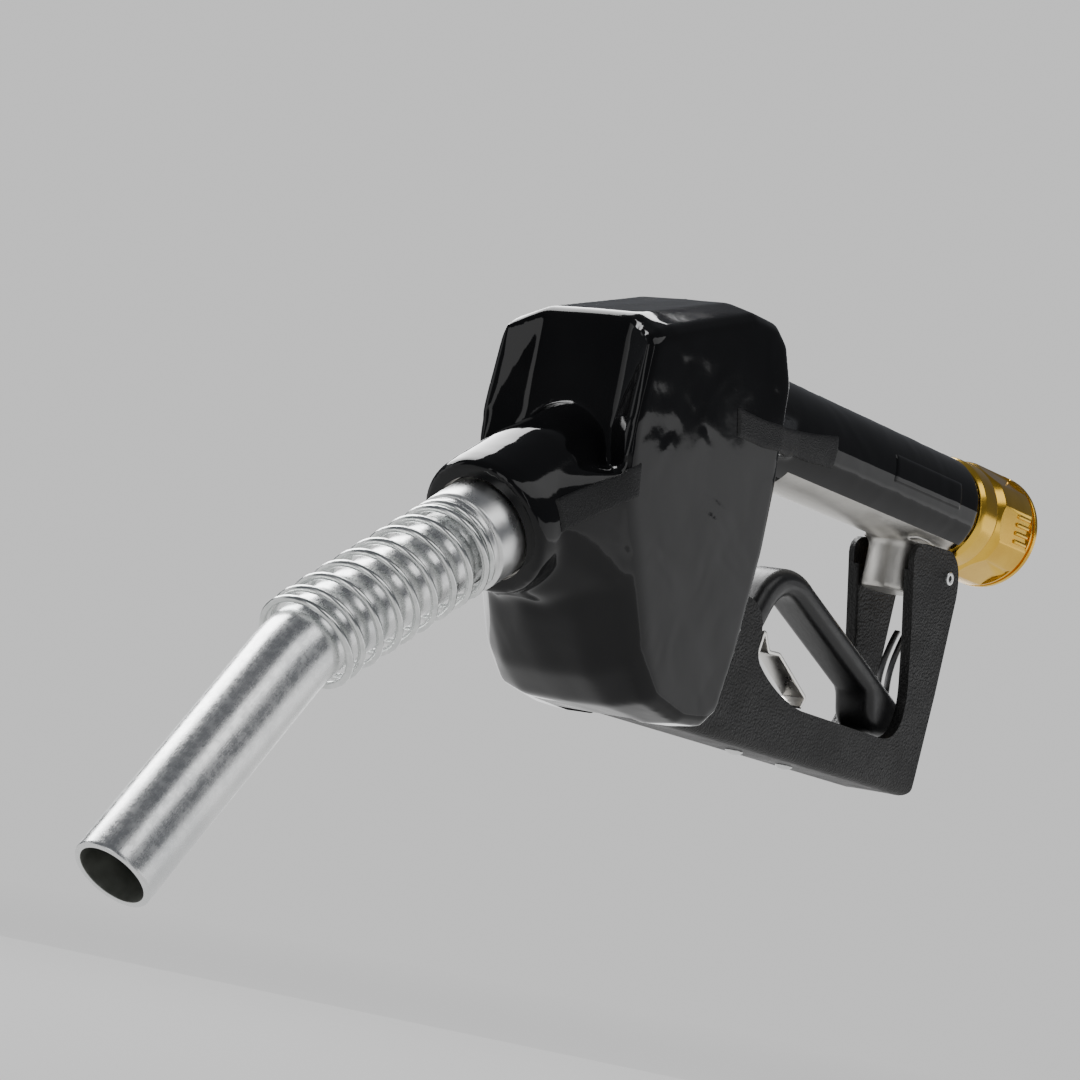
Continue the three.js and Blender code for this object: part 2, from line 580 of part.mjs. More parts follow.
function latchPlunger() {
  const turnedBody = onLatch(turned([
    [0, lever.pivotZ], [plunger.rodRadius, lever.pivotZ], [plunger.rodRadius, plunger.headBottomZ],
    [plunger.headRadius, plunger.headBottomZ], [plunger.headRadius, plunger.headTopZ], [0, plunger.headTopZ],
  ], 24));
  const eye = alongY(rod(plunger.eyeRadius, -plunger.eyeHalfWidth, plunger.eyeHalfWidth, 20))
    .translate(latch.x, 0, lever.pivotZ);
  const pinHole = alongY(rod(lever.pinRadius + gap, -20, 20, smallSides)).translate(latch.x, 0, lever.pivotZ);
  const latchBore = onLatch(rod(latch.pinRadius + slip, latch.pinBottomZ - 1 + 0.2, 0, smallSides));
  const reach = plunger.rollerOffset + plunger.rollerRadius + gap;
  const halfSlot = plunger.rollerLength / 2 + gap;
  const tall = plunger.rollerRadius + gap;
  const rollerSlot = box(latch.x - reach - 2, latch.x + reach + 2, -halfSlot, halfSlot,
    plunger.rollerZ - tall, plunger.rollerZ + tall);
  return cutAll(join(solid(turnedBody), solid(eye)), [pinHole, latchBore, rollerSlot].map(solid));
}

piece('latch_plunger', latchPlunger(), finishes.polished);
['rear', 'front'].forEach((end, i) => {
  const half = plunger.rollerLength / 2;
  const x = latch.x + (2 * i - 1) * plunger.rollerOffset;
  piece(`latch_roller_${end}`, alongY(rod(plunger.rollerRadius, -half, half, 12))
    .translate(x, 0, plunger.rollerZ), finishes.zinc);
});

const bushingTopZ = latch.towerBottomZ + plunger.bushingLength;
piece('plunger_bushing', onLatch(tube(plunger.bushingRadius, plunger.rodRadius + slip, latch.towerBottomZ,
  bushingTopZ, 24)), finishes.brass);
piece('plunger_spring', onLatch(coilSpring(latchSpring, bushingTopZ + gap, plunger.headBottomZ - gap, 8)),
  finishes.springSteel);

// ---- lever and hold-open clip -------------------------------------------------------------

function leverOutline() {
  const shape = new THREE.Shape();
  shape.moveTo(46, -72.6);
  shape.lineTo(117, -43.4);
  shape.bezierCurveTo(126, -38.6, 139, -38.4, 146, -49);
  shape.lineTo(153, -62);
  shape.bezierCurveTo(157, -71, 163, leverTopZ, 172, leverTopZ);
  shape.lineTo(lever.pivotX - 6, leverTopZ);
  shape.lineTo(lever.pivotX, leverTopZ);
  shape.absarc(lever.pivotX, lever.pivotZ, -(lever.pivotZ - leverTopZ), Math.PI / 2, -Math.PI / 2, true);
  shape.lineTo(172, lever.pivotZ - 6);
  shape.bezierCurveTo(158, lever.pivotZ - 5, 150, -78, 145, -68);
  shape.lineTo(139.5, -56.5);
  shape.bezierCurveTo(135, -48.6, 129, -48, 122, -50.8);
  shape.lineTo(72, -71.2);
  shape.lineTo(67, -80.5);
  shape.bezierCurveTo(63, -86, 49, -86, 44.5, -79.5);
  shape.bezierCurveTo(43, -76, 43, -74, 46, -72.6);
  return shape;
}

function leverSolid() {
  const forkHalf = plunger.eyeHalfWidth + slip;
  const frontFork = box(lever.pivotX - 8.5, lever.pivotX + 20, -forkHalf, forkHalf, -110, -60);
  const rearFork = box(30, clip.x + clip.eyeRadius + 2, -clip.halfWidth - slip, clip.halfWidth + slip, -110, -60);
  const pivotHole = alongY(rod(lever.pinRadius + gap, -20, 20, smallSides)).translate(lever.pivotX, 0, lever.pivotZ);
  const clipHole = alongY(rod(clip.pinRadius + gap, -20, 20, 12)).translate(clip.x, 0, clip.z);
  return cutAll(solid(slab(leverOutline(), -lever.halfWidth, lever.halfWidth, lever.edgeRound)),
    [frontFork, rearFork, pivotHole, clipHole].map(solid));
}

piece('lever', leverSolid(), finishes.blackSatin);
piece('lever_pivot_pin', alongY(rod(lever.pinRadius, -lever.halfWidth + gap, lever.halfWidth - gap, smallSides))
  .translate(lever.pivotX, 0, lever.pivotZ), finishes.zinc);

function holdOpenClip() {
  const leaf = stripOutline([
    [clip.x - 2.6, clip.z + 1], [50.4, -70], [51.2, -63], [50, -56.5], [47.4, -50], [45.4, -46.2], [42.2, -42.2],
  ], clip.thickness);
  const eye = alongY(rod(clip.eyeRadius, -clip.halfWidth, clip.halfWidth, smallSides)).translate(clip.x, 0, clip.z);
  const pinHole = alongY(rod(clip.pinRadius + gap, -20, 20, 12)).translate(clip.x, 0, clip.z);
  return cut(join(solid(slab(leaf, -clip.halfWidth, clip.halfWidth)), solid(eye)), solid(pinHole));
}

piece('hold_open_clip', holdOpenClip(), finishes.darkSteel);
piece('clip_pin', alongY(rod(clip.pinRadius, -lever.halfWidth + gap, lever.halfWidth - gap, 12))
  .translate(clip.x, 0, clip.z), finishes.zinc);

// ---- lever guard --------------------------------------------------------------------------

function cheekOutline() {
  const armTop = -Math.sqrt(handle.radius ** 2 - guard.inside ** 2) - guard.armDrop;
  const shape = new THREE.Shape();
  shape.moveTo(41.5, guard.floorZ);
  shape.lineTo(39.5, guard.floorZ + 3);
  shape.lineTo(37, -65);
  shape.lineTo(35.5, -30);
  shape.bezierCurveTo(35.5, -22, 39, armTop - 0.2, 46, armTop);
  shape.lineTo(62, armTop - 1);
  shape.quadraticCurveTo(68.5, armTop - 1.6, 68.6, armTop - 7.7);
  shape.lineTo(60.2, -49.9);
  shape.lineTo(56, -66);
  shape.bezierCurveTo(53.5, -76, 57, -85.6, 67.7, -85.6);
  shape.lineTo(120, -85.2);
  shape.bezierCurveTo(131, -84.6, 145, -79, 151, -74);
  shape.bezierCurveTo(154.6, -70.6, 150.5, -63.5, 154, -60);
  shape.lineTo(164, -55);
  shape.lineTo(guard.frontX, -55);
  shape.lineTo(guard.frontX, guard.floorZ);
  return shape;
}

function guardSolid() {
  const { inside, halfWidth, floorZ } = guard;
  const cheeks = [slab(cheekOutline(), inside, halfWidth), slab(cheekOutline(), -halfWidth, -inside)];
  const floor = box(41.5, guard.frontX, -inside - 0.5, inside + 0.5, floorZ, floorZ + guard.sheet);
  const pinHole = alongY(rod(guardPin.radius + gap, -20, 20, smallSides)).translate(guardPin.x, 0, guardPin.z);
  const screwHole = alongY(rod(guard.screwRadius + gap, -20, 20, smallSides))
    .translate(guard.screwX, 0, guard.screwZ);
  const rivetHoles = rack.rivetXs.map((x) =>
    at(rod(rack.rivetRadius + gap, guard.floorZ - 1, guard.floorZ + 6, 12), x, 0, 0));
  return cutAll(join(...[...cheeks, floor].map(solid)), [pinHole, screwHole, ...rivetHoles].map(solid));
}

piece('lever_guard', guardSolid(), finishes.blackCoat);

const pinHalf = guard.halfWidth + guardPin.proud;
piece('guard_roll_pin', alongY(tube(guardPin.radius, 1.1, -pinHalf, pinHalf, smallSides))
  .translate(guardPin.x, 0, guardPin.z), finishes.zinc);

['left', 'right'].forEach((end, i) => {
  const under = guard.halfWidth + gap;
  const screw = alongY(turned([
    [0, skirtInner + 0.2], [guard.screwRadius, skirtInner + 0.2], [guard.screwRadius, under], [guard.screwHead, under],
    [guard.screwHead, under + guard.screwHeadHeight - 0.7], [guard.screwHead - 0.9, under + guard.screwHeadHeight],
    [0, under + guard.screwHeadHeight],
  ], smallSides));
  screw.rotateZ(i * Math.PI).translate(guard.screwX, 0, guard.screwZ);
  piece(`guard_screw_${end}`, screw, finishes.zinc);
});

const rackBaseZ = guard.floorZ + guard.sheet + gap + rack.sheet / 2;

function holdOpenRack() {
  const strip = stripOutline([
    [97, rackBaseZ], [139, rackBaseZ], [141.4, rackBaseZ + 2.4], [139.6, -75], [137.2, -62.4], [132.6, -68.6],
    [126, -68.2], [105.2, -79.4], [107, -83],
  ], rack.sheet);
  const holes = rack.rivetXs.map((x) =>
    at(rod(rack.rivetRadius + gap, rackBaseZ - 3, rackBaseZ + 3, 12), x, 0, 0));
  return cutAll(solid(slab(strip, -rack.halfWidth, rack.halfWidth)), holes.map(solid));
}

piece('hold_open_rack', holdOpenRack(), finishes.nickel);

['front', 'rear'].forEach((end, i) => {
  const under = guard.floorZ - gap;
  const over = rackBaseZ + rack.sheet / 2 + gap;
  piece(`rack_rivet_${end}`, at(turned([
    [0, under - rack.rivetDome], [rack.rivetHead * 0.6, under - rack.rivetDome * 0.8], [rack.rivetHead, under],
    [rack.rivetRadius, under], [rack.rivetRadius, over], [rack.rivetHead, over], [rack.rivetHead * 0.6, over + 1],
    [0, over + rack.rivetDome],
  ], smallSides), rack.rivetXs[i], 0, 0), finishes.zinc);
});

// ---- spout --------------------------------------------------------------------------------

// The spout's centre line in the neck frame, or a line beside it, offset towards the inside of the bend.
function spoutPoints(from, tipInset, offset = 0) {
  const angle = THREE.MathUtils.degToRad(spout.bend);
  const reach = spout.bendRadius * Math.tan(angle / 2);
  const radius = spout.bendRadius - offset;
  const bendSteps = 5;
  const corners = Array.from({ length: bendSteps + 1 }, (_, i) => {
    const t = (i / bendSteps) * angle;
    return new THREE.Vector3(spout.bendRadius - radius * Math.cos(t), 0,
      spout.neckLength - reach + radius * Math.sin(t));
  });
  const along = new THREE.Vector3(Math.sin(angle), 0, Math.cos(angle));
  const end = corners[bendSteps].clone().addScaledVector(along, spout.tipLength - reach - tipInset);
  return [new THREE.Vector3(offset, 0, from), ...corners, end];
}

// Sweeps a ring section through a list of points, with one station on each point.
function bentTube(points, outer, inner, sides) {
  const stations = points.length;
  const positions = [];
  const index = [];
  const tangents = points.map((point, i) => {
    const before = points[Math.max(i - 1, 0)];
    const after = points[Math.min(i + 1, stations - 1)];
    const behind = point.clone().sub(before).normalize();
    const ahead = after.clone().sub(point).normalize();
    return behind.add(ahead).normalize();
  });
  const across = new THREE.Vector3(0, 1, 0);
  for (const radius of [outer, inner]) {
    points.forEach((point, i) => {
      const side = across.clone().cross(tangents[i]);
      for (let k = 0; k < sides; k += 1) {
        const t = (k * 2 * Math.PI) / sides;
        const place = point.clone().addScaledVector(across, radius * Math.cos(t));
        place.addScaledVector(side, radius * Math.sin(t));
        positions.push(place.x, place.y, place.z);
      }
    });
  }
  const corner = (layer, i, k) => layer * stations * sides + i * sides + (k % sides);
  const quad = (a, b, c, d) => index.push(a, b, c, a, c, d);
  for (let k = 0; k < sides; k += 1) {
    for (let i = 0; i < stations - 1; i += 1) {
      quad(corner(0, i, k), corner(0, i, k + 1), corner(0, i + 1, k + 1), corner(0, i + 1, k));
      quad(corner(1, i, k), corner(1, i + 1, k), corner(1, i + 1, k + 1), corner(1, i, k + 1));
    }
    quad(corner(0, 0, k + 1), corner(0, 0, k), corner(1, 0, k), corner(1, 0, k + 1));
    const last = stations - 1;
    quad(corner(0, last, k), corner(0, last, k + 1), corner(1, last, k + 1), corner(1, last, k));
  }
  const geometry = new THREE.BufferGeometry();
  geometry.setAttribute('position', new THREE.Float32BufferAttribute(positions, 3));
  geometry.setIndex(index);
  return geometry;
}

piece('spout_tube', bentTube(spoutPoints(-spout.inside, 0), spout.radius, spout.radius - spout.wall, 32),
  finishes.polished, neckFrame);

const sensingOffset = spout.radius - spout.wall - sensing.radius - gap;
const sensingLine = spoutPoints(-sensing.inside, sensing.tipInset, -sensingOffset);
piece('sensing_tube', bentTube(sensingLine, sensing.radius, sensing.bore, 10), finishes.polished, neckFrame);

piece('spout_collar', turned([
  [spout.radius + gap, -collar.inside], [collar.radius, -collar.inside],
  [collar.radius, collar.visible - collar.shoulder - 0.6], [collar.radius - 0.6, collar.visible - collar.shoulder],
  [collar.shoulderRadius, collar.visible - collar.shoulder], [collar.shoulderRadius, collar.visible],
  [spout.radius + gap, collar.visible], [spout.radius + gap, -collar.inside],
]), finishes.zinc, neckFrame);

const springFrom = collar.visible + gap;
piece('anchor_spring', coilSpring(anchorSpring, springFrom, springFrom + anchorSpring.length, 14, 5),
  finishes.springSteel, neckFrame);

piece('spout_lock_screw', alongX(rod(lockScrew.radius, -neck.radius + gap, -collar.radius - gap, 12))
  .translate(0, 0, -lockScrew.from), finishes.zinc, neckFrame);

// ---- outlet check valve -------------------------------------------------------------------

const checkSeatTop = -check.seatFrom + check.seatLength;
const discFrom = checkSeatTop + gap;
const discTo = discFrom + check.discThickness;

piece('check_seat', turned([
  [check.seatBore + 1.5, -check.seatFrom], [neck.outletRadius - gap, -check.seatFrom],
  [neck.outletRadius - gap, checkSeatTop], [check.seatBore, checkSeatTop], [check.seatBore + 1.5, -check.seatFrom],
], 28), finishes.brass, neckFrame);
piece('check_poppet', turned([
  [0, -check.seatFrom + 1], [check.stemRadius, -check.seatFrom + 1], [check.stemRadius + 0.5, checkSeatTop - 1],
  [check.seatBore - slip, checkSeatTop - 0.6], [check.seatBore - slip, discFrom], [check.discRadius, discFrom],
  [check.discRadius, discTo], [check.stemRadius, discTo], [check.stemRadius, discTo + 6], [0, discTo + 6],
], 28), finishes.brass, neckFrame);
piece('check_spring', coilSpring(checkSpring, discTo + gap, -spout.inside - gap), finishes.springSteel, neckFrame);

export default nozzle;
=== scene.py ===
# Automatic fuel nozzle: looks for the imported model.
# Lengths in the dictionaries are millimetres in the model's own frame; Blender gets metres.
import math

import bmesh
import bpy
from mathutils import Matrix, Vector, noise
from mathutils.bvhtree import BVHTree


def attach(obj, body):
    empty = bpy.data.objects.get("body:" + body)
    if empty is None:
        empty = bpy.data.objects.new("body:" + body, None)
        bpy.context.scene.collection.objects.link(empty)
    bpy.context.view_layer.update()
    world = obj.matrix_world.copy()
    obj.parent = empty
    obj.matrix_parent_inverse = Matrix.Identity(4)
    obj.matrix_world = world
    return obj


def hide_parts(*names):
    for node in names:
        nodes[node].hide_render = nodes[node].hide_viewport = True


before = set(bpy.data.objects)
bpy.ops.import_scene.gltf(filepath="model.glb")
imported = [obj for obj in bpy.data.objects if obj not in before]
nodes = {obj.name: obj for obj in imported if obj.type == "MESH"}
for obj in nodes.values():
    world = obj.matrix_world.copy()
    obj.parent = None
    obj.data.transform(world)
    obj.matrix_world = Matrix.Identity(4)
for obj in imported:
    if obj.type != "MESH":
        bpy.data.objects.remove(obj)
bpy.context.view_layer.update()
mm = 0.001


def meshPiece(name, points, faces):
    mesh = bpy.data.meshes.new(name)
    mesh.from_pydata([Vector(p) * mm for p in points], [], faces)
    mesh.update()
    obj = bpy.data.objects.new(name, mesh)
    bpy.context.scene.collection.objects.link(obj)
    work = bmesh.new()
    work.from_mesh(mesh)
    bmesh.ops.recalc_face_normals(work, faces=work.faces)
    work.to_mesh(mesh)
    work.free()
    return obj


def applyModifiers(obj):
    graph = bpy.context.evaluated_depsgraph_get()
    mesh = bpy.data.meshes.new_from_object(obj.evaluated_get(graph), depsgraph=graph)
    obj.modifiers.clear()
    obj.data = mesh
    return obj


def smoothFaces(obj, angle=32):
    mesh = obj.data
    mesh.polygons.foreach_set("use_smooth", [True] * len(mesh.polygons))
    mesh.set_sharp_from_angle(angle=math.radians(angle))
    return obj


def bevelEdges(obj, width, segments=3, angle=40, weighted=True):
    bevel = obj.modifiers.new("edgeBreak", "BEVEL")
    bevel.width = width * mm
    bevel.segments = segments
    bevel.limit_method = "ANGLE"
    bevel.angle_limit = math.radians(angle)
    applyModifiers(obj)
    smoothFaces(obj, 40)
    if weighted:
        obj.modifiers.new("evenShading", "WEIGHTED_NORMAL").keep_sharp = True
        applyModifiers(obj)
    return obj


def carve(obj, tool, operation="DIFFERENCE", keep=False):
    cut = obj.modifiers.new("carve", "BOOLEAN")
    cut.operation = operation
    cut.solver = "EXACT"
    cut.object = tool
    applyModifiers(obj)
    if not keep:
        bpy.data.objects.remove(tool)
    return obj


def joined(name, pieces):
    work = bmesh.new()
    for piece in pieces:
        work.from_mesh(piece.data)
        bpy.data.objects.remove(piece)
    mesh = bpy.data.meshes.new(name)
    work.to_mesh(mesh)
    work.free()
    obj = bpy.data.objects.new(name, mesh)
    bpy.context.scene.collection.objects.link(obj)
    return obj


def moulded(obj, voxel, passes, factor=0.5):
    # melts overlapping blocks into one skin with soft inside and outside corners
    skin = obj.modifiers.new("skin", "REMESH")
    skin.mode = "VOXEL"
    skin.voxel_size = voxel * mm
    soft = obj.modifiers.new("soften", "SMOOTH")
    soft.factor = factor
    soft.iterations = passes
    return smoothFaces(applyModifiers(obj), 60)


def roundCorners(points, radius, steps=4, closed=False):
    # swaps each corner of a profile for a short curve
    out = []
    count = len(points)
    for i, (x, y) in enumerate(points):
        if not closed and i in (0, count - 1):
            out.append((x, y))
            continue
        here = Vector((x, y))
        before = Vector(points[i - 1]) - here
        after = Vector(points[(i + 1) % count]) - here
        r = min(radius, before.length * 0.45, after.length * 0.45)
        a, b = here + before.normalized() * r, here + after.normalized() * r
        for k in range(steps + 1):
            t = k / steps
            p = a * (1 - t) ** 2 + here * 2 * t * (1 - t) + b * t * t
            out.append((p.x, p.y))
    return out


def ringSkin(name, rings, sides, closed):
    # rings: (centre, side vector, up vector, radius, length along); skins them and lays a UV along and around
    points, faces, rows = [], [], []
    for centre, side, up, radius, along in rings:
        if radius < 1e-5:
            rows.append([len(points)])
            points.append(centre)
            continue
        rows.append(list(range(len(points), len(points) + sides)))
        for k in range(sides):
            turn = 2 * math.pi * k / sides
            points.append(centre + side * (radius * math.cos(turn)) + up * (radius * math.sin(turn)))
    pairs = list(zip(rows, rows[1:]))
    if closed:
        pairs.append((rows[-1], rows[0]))
    for a, b in pairs:
        for k in range(sides):
            n = (k + 1) % sides
            if len(a) == 1 and len(b) > 1:
                faces.append((a[0], b[n], b[k]))
            elif len(b) == 1 and len(a) > 1:
                faces.append((a[k], a[n], b[0]))
            elif len(a) > 1:
                faces.append((a[k], a[n], b[n], b[k]))
    obj = meshPiece(name, points, faces)
    place = {}
    for row, ring in zip(rows, rings):
        for k, v in enumerate(row):
            place[v] = (k / sides, ring[4])
    layer = obj.data.uv_layers.new(name="along")
    for loop in obj.data.loops:
        u, v = place[loop.vertex_index]
        layer.data[loop.index].uv = (u, v * 0.01)
    return smoothFaces(obj)


def turned(name, profile, origin=(0, 0, 0), axis=(0, 0, 1), sides=96, soften=0.0):
    # (radius, length along) pairs turned about an axis; a profile that never meets the axis closes on itself
    out = Vector(axis).normalized()
    side = out.orthogonal().normalized() if abs(out.y) > 0.9 else Vector((0, 1, 0))
    up = out.cross(side)
    closed = profile[0][0] > 1e-5 and profile[-1][0] > 1e-5
    if soften:
        profile = roundCorners(profile, soften, closed=closed)
    rings = [(Vector(origin) + out * z, side, up, r, z) for r, z in profile]
    return ringSkin(name, rings, sides, closed)


def block(name, low, high):
    (x0, y0, z0), (x1, y1, z1) = low, high
    points = [(x, y, z) for x in (x0, x1) for y in (y0, y1) for z in (z0, z1)]
    faces = [(0, 1, 3, 2), (4, 6, 7, 5), (0, 4, 5, 1), (2, 3, 7, 6), (0, 2, 6, 4), (1, 5, 7, 3)]
    return meshPiece(name, points, faces)


def hull(name, points):
    work = bmesh.new()
    for p in points:
        work.verts.new(Vector(p) * mm)
    made = bmesh.ops.convex_hull(work, input=work.verts)
    spare = [v for v in made["geom_interior"] if isinstance(v, bmesh.types.BMVert)]
    bmesh.ops.delete(work, geom=spare, context="VERTS")
    mesh = bpy.data.meshes.new(name)
    work.to_mesh(mesh)
    work.free()
    obj = bpy.data.objects.new(name, mesh)
    bpy.context.scene.collection.objects.link(obj)
    return obj


def bezier(start, first, second, end, steps=10):
    a, b, c, d = Vector(start), Vector(first), Vector(second), Vector(end)
    out = []
    for k in range(1, steps + 1):
        t = k / steps
        p = a * (1 - t) ** 3 + b * 3 * t * (1 - t) ** 2 + c * 3 * t * t * (1 - t) + d * t ** 3
        out.append((p.x, p.y))
    return out


def sweptBar(name, path, outline, across=(0, 1, 0)):
    # sweeps a closed outline (across, away) along points in space, with flat ends
    across = Vector(across)
    count, rows, points, faces = len(outline), [], [], []
    for i, p in enumerate(path):
        ahead = Vector(path[min(i + 1, len(path) - 1)]) - Vector(path[max(i - 1, 0)])
        away = across.cross(ahead.normalized())
        rows.append(list(range(len(points), len(points) + count)))
        points += [Vector(p) + across * u + away * v for u, v in outline]
    for a, b in zip(rows, rows[1:]):
        faces += [(a[k], a[(k + 1) % count], b[(k + 1) % count], b[k]) for k in range(count)]
    faces += [tuple(rows[0]), tuple(reversed(rows[-1]))]
    return meshPiece(name, points, faces)


def finish(name, **sockets):
    material = bpy.data.materials.new(name)
    material.use_nodes = True
    tree = material.node_tree
    shader = tree.nodes["Principled BSDF"]
    for key, value in sockets.items():
        shader.inputs[key.replace("_", " ")].default_value = value
    return material, tree, shader


def node(tree, kind, inputs=None, **settings):
    made = tree.nodes.new(kind)
    for key, value in settings.items():
        setattr(made, key, value)
    for key, value in (inputs or {}).items():
        if isinstance(value, bpy.types.NodeSocket):
            tree.links.new(value, made.inputs[key])
        else:
            made.inputs[key].default_value = value
    return made


def places(tree, scale=(1, 1, 1), turn=(0, 0, 0), kind="Object"):
    source = node(tree, "ShaderNodeTexCoord").outputs[kind]
    mapped = node(tree, "ShaderNodeMapping", {"Vector": source, "Scale": scale, "Rotation": turn})
    return mapped.outputs["Vector"]


def grain(tree, where, scale, detail=3, rough=0.5, distortion=0.0):
    made = node(tree, "ShaderNodeTexNoise", {"Vector": where, "Scale": scale, "Detail": detail,
                                             "Roughness": rough, "Distortion": distortion})
    return made.outputs["Fac"]


def spread(tree, value, low, high, fromLow=0.3, fromHigh=0.7):
    made = node(tree, "ShaderNodeMapRange", {"Value": value, "From Min": fromLow, "From Max": fromHigh,
                                             "To Min": low, "To Max": high})
    return made.outputs["Result"]


def tint(tree, value, dark, light, low=0.3, high=0.7):
    made = node(tree, "ShaderNodeValToRGB", {"Fac": value})
    made.color_ramp.elements[0].position = low
    made.color_ramp.elements[1].position = high
    made.color_ramp.elements[0].color = (*dark, 1)
    made.color_ramp.elements[1].color = (*light, 1)
    return made.outputs["Color"]


def relief(tree, height, distance, strength=1.0, normal=None):
    inputs = {"Height": height, "Distance": distance * mm, "Strength": strength}
    if normal is not None:
        inputs["Normal"] = normal
    return node(tree, "ShaderNodeBump", inputs).outputs["Normal"]


def link(tree, shader, **sources):
    for key, value in sources.items():
        tree.links.new(value, shader.inputs[key.replace("_", " ")])


def makeBlackVinyl():
    material, tree, shader = finish("glossyBlackVinyl", IOR=1.5, Specular_IOR_Level=0.28)
    here = places(tree)
    cloud = grain(tree, here, 38, 4)
    fine = grain(tree, here, 900, 2)
    scuff = grain(tree, places(tree, (1, 1, 5), (0.3, 0.5, 0.2)), 170, 6, 0.72, 1.5)
    colour = tint(tree, cloud, (0.0035, 0.0035, 0.004), (0.0065, 0.0065, 0.007))
    marks = spread(tree, scuff, 0.0, 0.2, 0.62, 0.82)
    base = spread(tree, cloud, 0.04, 0.085)
    rough = node(tree, "ShaderNodeMath", {0: base, 1: marks}, operation="ADD").outputs[0]
    dents = relief(tree, grain(tree, here, 120, 1, 0.5, 0.8), 0.05, 0.5)
    waves = relief(tree, grain(tree, here, 46, 1, 0.5, 0.9), 0.34, 1.0, dents)
    link(tree, shader, Base_Color=colour, Roughness=rough, Normal=relief(tree, fine, 0.006, 0.6, waves))
    return material


def makeGrainedVinyl():
    material, tree, shader = finish("grainedBlackVinyl", Specular_IOR_Level=0.4)
    here = places(tree)
    weave = node(tree, "ShaderNodeTexVoronoi", {"Vector": here, "Scale": 1800},
                 feature="F1").outputs["Distance"]
    cloud = grain(tree, here, 120, 4)
    link(tree, shader, Base_Color=tint(tree, cloud, (0.006, 0.006, 0.0065), (0.016, 0.016, 0.017)),
         Roughness=spread(tree, cloud, 0.48, 0.66), Normal=relief(tree, weave, 0.26, 0.9))
    return material


def makePowderCoat():
    material, tree, shader = finish("texturedBlackCoat", Specular_IOR_Level=0.34)
    here = places(tree)
    pebbles = node(tree, "ShaderNodeTexVoronoi", {"Vector": here, "Scale": 1250, "Randomness": 1.0},
                   feature="SMOOTH_F1").outputs["Distance"]
    cloud = grain(tree, here, 60, 5, 0.6)
    specks = grain(tree, here, 2400, 2)
    first = relief(tree, pebbles, 0.3, 0.85)
    link(tree, shader, Base_Color=tint(tree, cloud, (0.006, 0.006, 0.006), (0.0125, 0.0122, 0.012)),
         Roughness=spread(tree, cloud, 0.4, 0.56), Normal=relief(tree, specks, 0.03, 0.5, first))
    return material


def makeSatinBlack():
    material, tree, shader = finish("satinBlackLever", Specular_IOR_Level=0.5)
    here = places(tree)
    cloud = grain(tree, here, 55, 4)
    fine = grain(tree, here, 1600, 3)
    rubs = grain(tree, places(tree, (1, 5, 1), (0, -0.39, 0)), 260, 5, 0.7)
    link(tree, shader, Base_Color=tint(tree, cloud, (0.007, 0.007, 0.0075), (0.013, 0.013, 0.0135)),
         Roughness=spread(tree, rubs, 0.27, 0.42), Normal=relief(tree, fine, 0.02, 0.6))
    return material


def makePolished():
    # drawn tube: fine marks along it, small dents and specks, a little uneven staining
    material, tree, shader = finish("polishedSpout", Metallic=1.0)
    here = places(tree)
    along = places(tree, (260, 5, 1), kind="UV")
    streaks = grain(tree, along, 1.0, 4, 0.65)
    dings = grain(tree, here, 420, 5, 0.72)
    cloud = grain(tree, here, 46, 4, 0.6)
    speck = node(tree, "ShaderNodeTexVoronoi", {"Vector": here, "Scale": 330},
                 feature="F1").outputs["Distance"]
    pits = spread(tree, speck, 1.0, 0.0, 0.03, 0.16)
    colour = tint(tree, cloud, (0.70, 0.715, 0.72), (0.86, 0.865, 0.86), 0.34, 0.62)
    rough = node(tree, "ShaderNodeMath", {0: spread(tree, dings, 0.2, 0.34, 0.38, 0.68),
                                          1: spread(tree, streaks, -0.03, 0.06)}, operation="ADD").outputs[0]
    first = relief(tree, streaks, 0.012, 0.5)
    second = relief(tree, dings, 0.035, 0.55, first)
    link(tree, shader, Base_Color=colour, Roughness=rough, Normal=relief(tree, pits, 0.03, 0.5, second))
    return material


def makeBoreSteel():
    material, tree, shader = finish("dullBore", Metallic=0.9)
    here = places(tree)
    cloud = grain(tree, here, 90, 5, 0.65)
    link(tree, shader, Base_Color=tint(tree, cloud, (0.2, 0.21, 0.19), (0.38, 0.39, 0.36)),
         Roughness=spread(tree, cloud, 0.38, 0.6), Normal=relief(tree, grain(tree, here, 700, 4), 0.03, 0.5))
    return material


def makeZinc():
    material, tree, shader = finish("brightZinc", Metallic=1.0)
    here = places(tree)
    lathe = grain(tree, places(tree, (3, 900, 1), kind="UV"), 1.0, 3, 0.6)
    cloud = grain(tree, here, 85, 5, 0.65)
    link(tree, shader, Base_Color=tint(tree, cloud, (0.68, 0.69, 0.69), (0.85, 0.85, 0.84)),
         Roughness=spread(tree, cloud, 0.22, 0.36),
         Normal=relief(tree, grain(tree, here, 600, 4), 0.02, 0.5, relief(tree, lathe, 0.01, 0.5)))
    return material


def makeWire():
    material, tree, shader = finish("springWire", Metallic=1.0)
    here = places(tree)
    cloud = grain(tree, here, 260, 4)
    link(tree, shader, Base_Color=tint(tree, cloud, (0.66, 0.68, 0.67), (0.86, 0.87, 0.86)),
         Roughness=spread(tree, cloud, 0.14, 0.27),
         Normal=relief(tree, grain(tree, here, 1300, 3), 0.012, 0.5))
    return material


def makeGold():
    material, tree, shader = finish("goldAnodised", Metallic=1.0)
    here = places(tree)
    lathe = grain(tree, places(tree, (5200, 30, 30)), 1.0, 3, 0.6)
    cloud = grain(tree, here, 60, 4)
    blasted = grain(tree, here, 1900, 2)
    first = relief(tree, lathe, 0.012, 0.45)
    link(tree, shader, Base_Color=tint(tree, cloud, (0.76, 0.44, 0.045), (0.93, 0.6, 0.09)),
         Roughness=spread(tree, cloud, 0.15, 0.26), Normal=relief(tree, blasted, 0.012, 0.5, first))
    return material


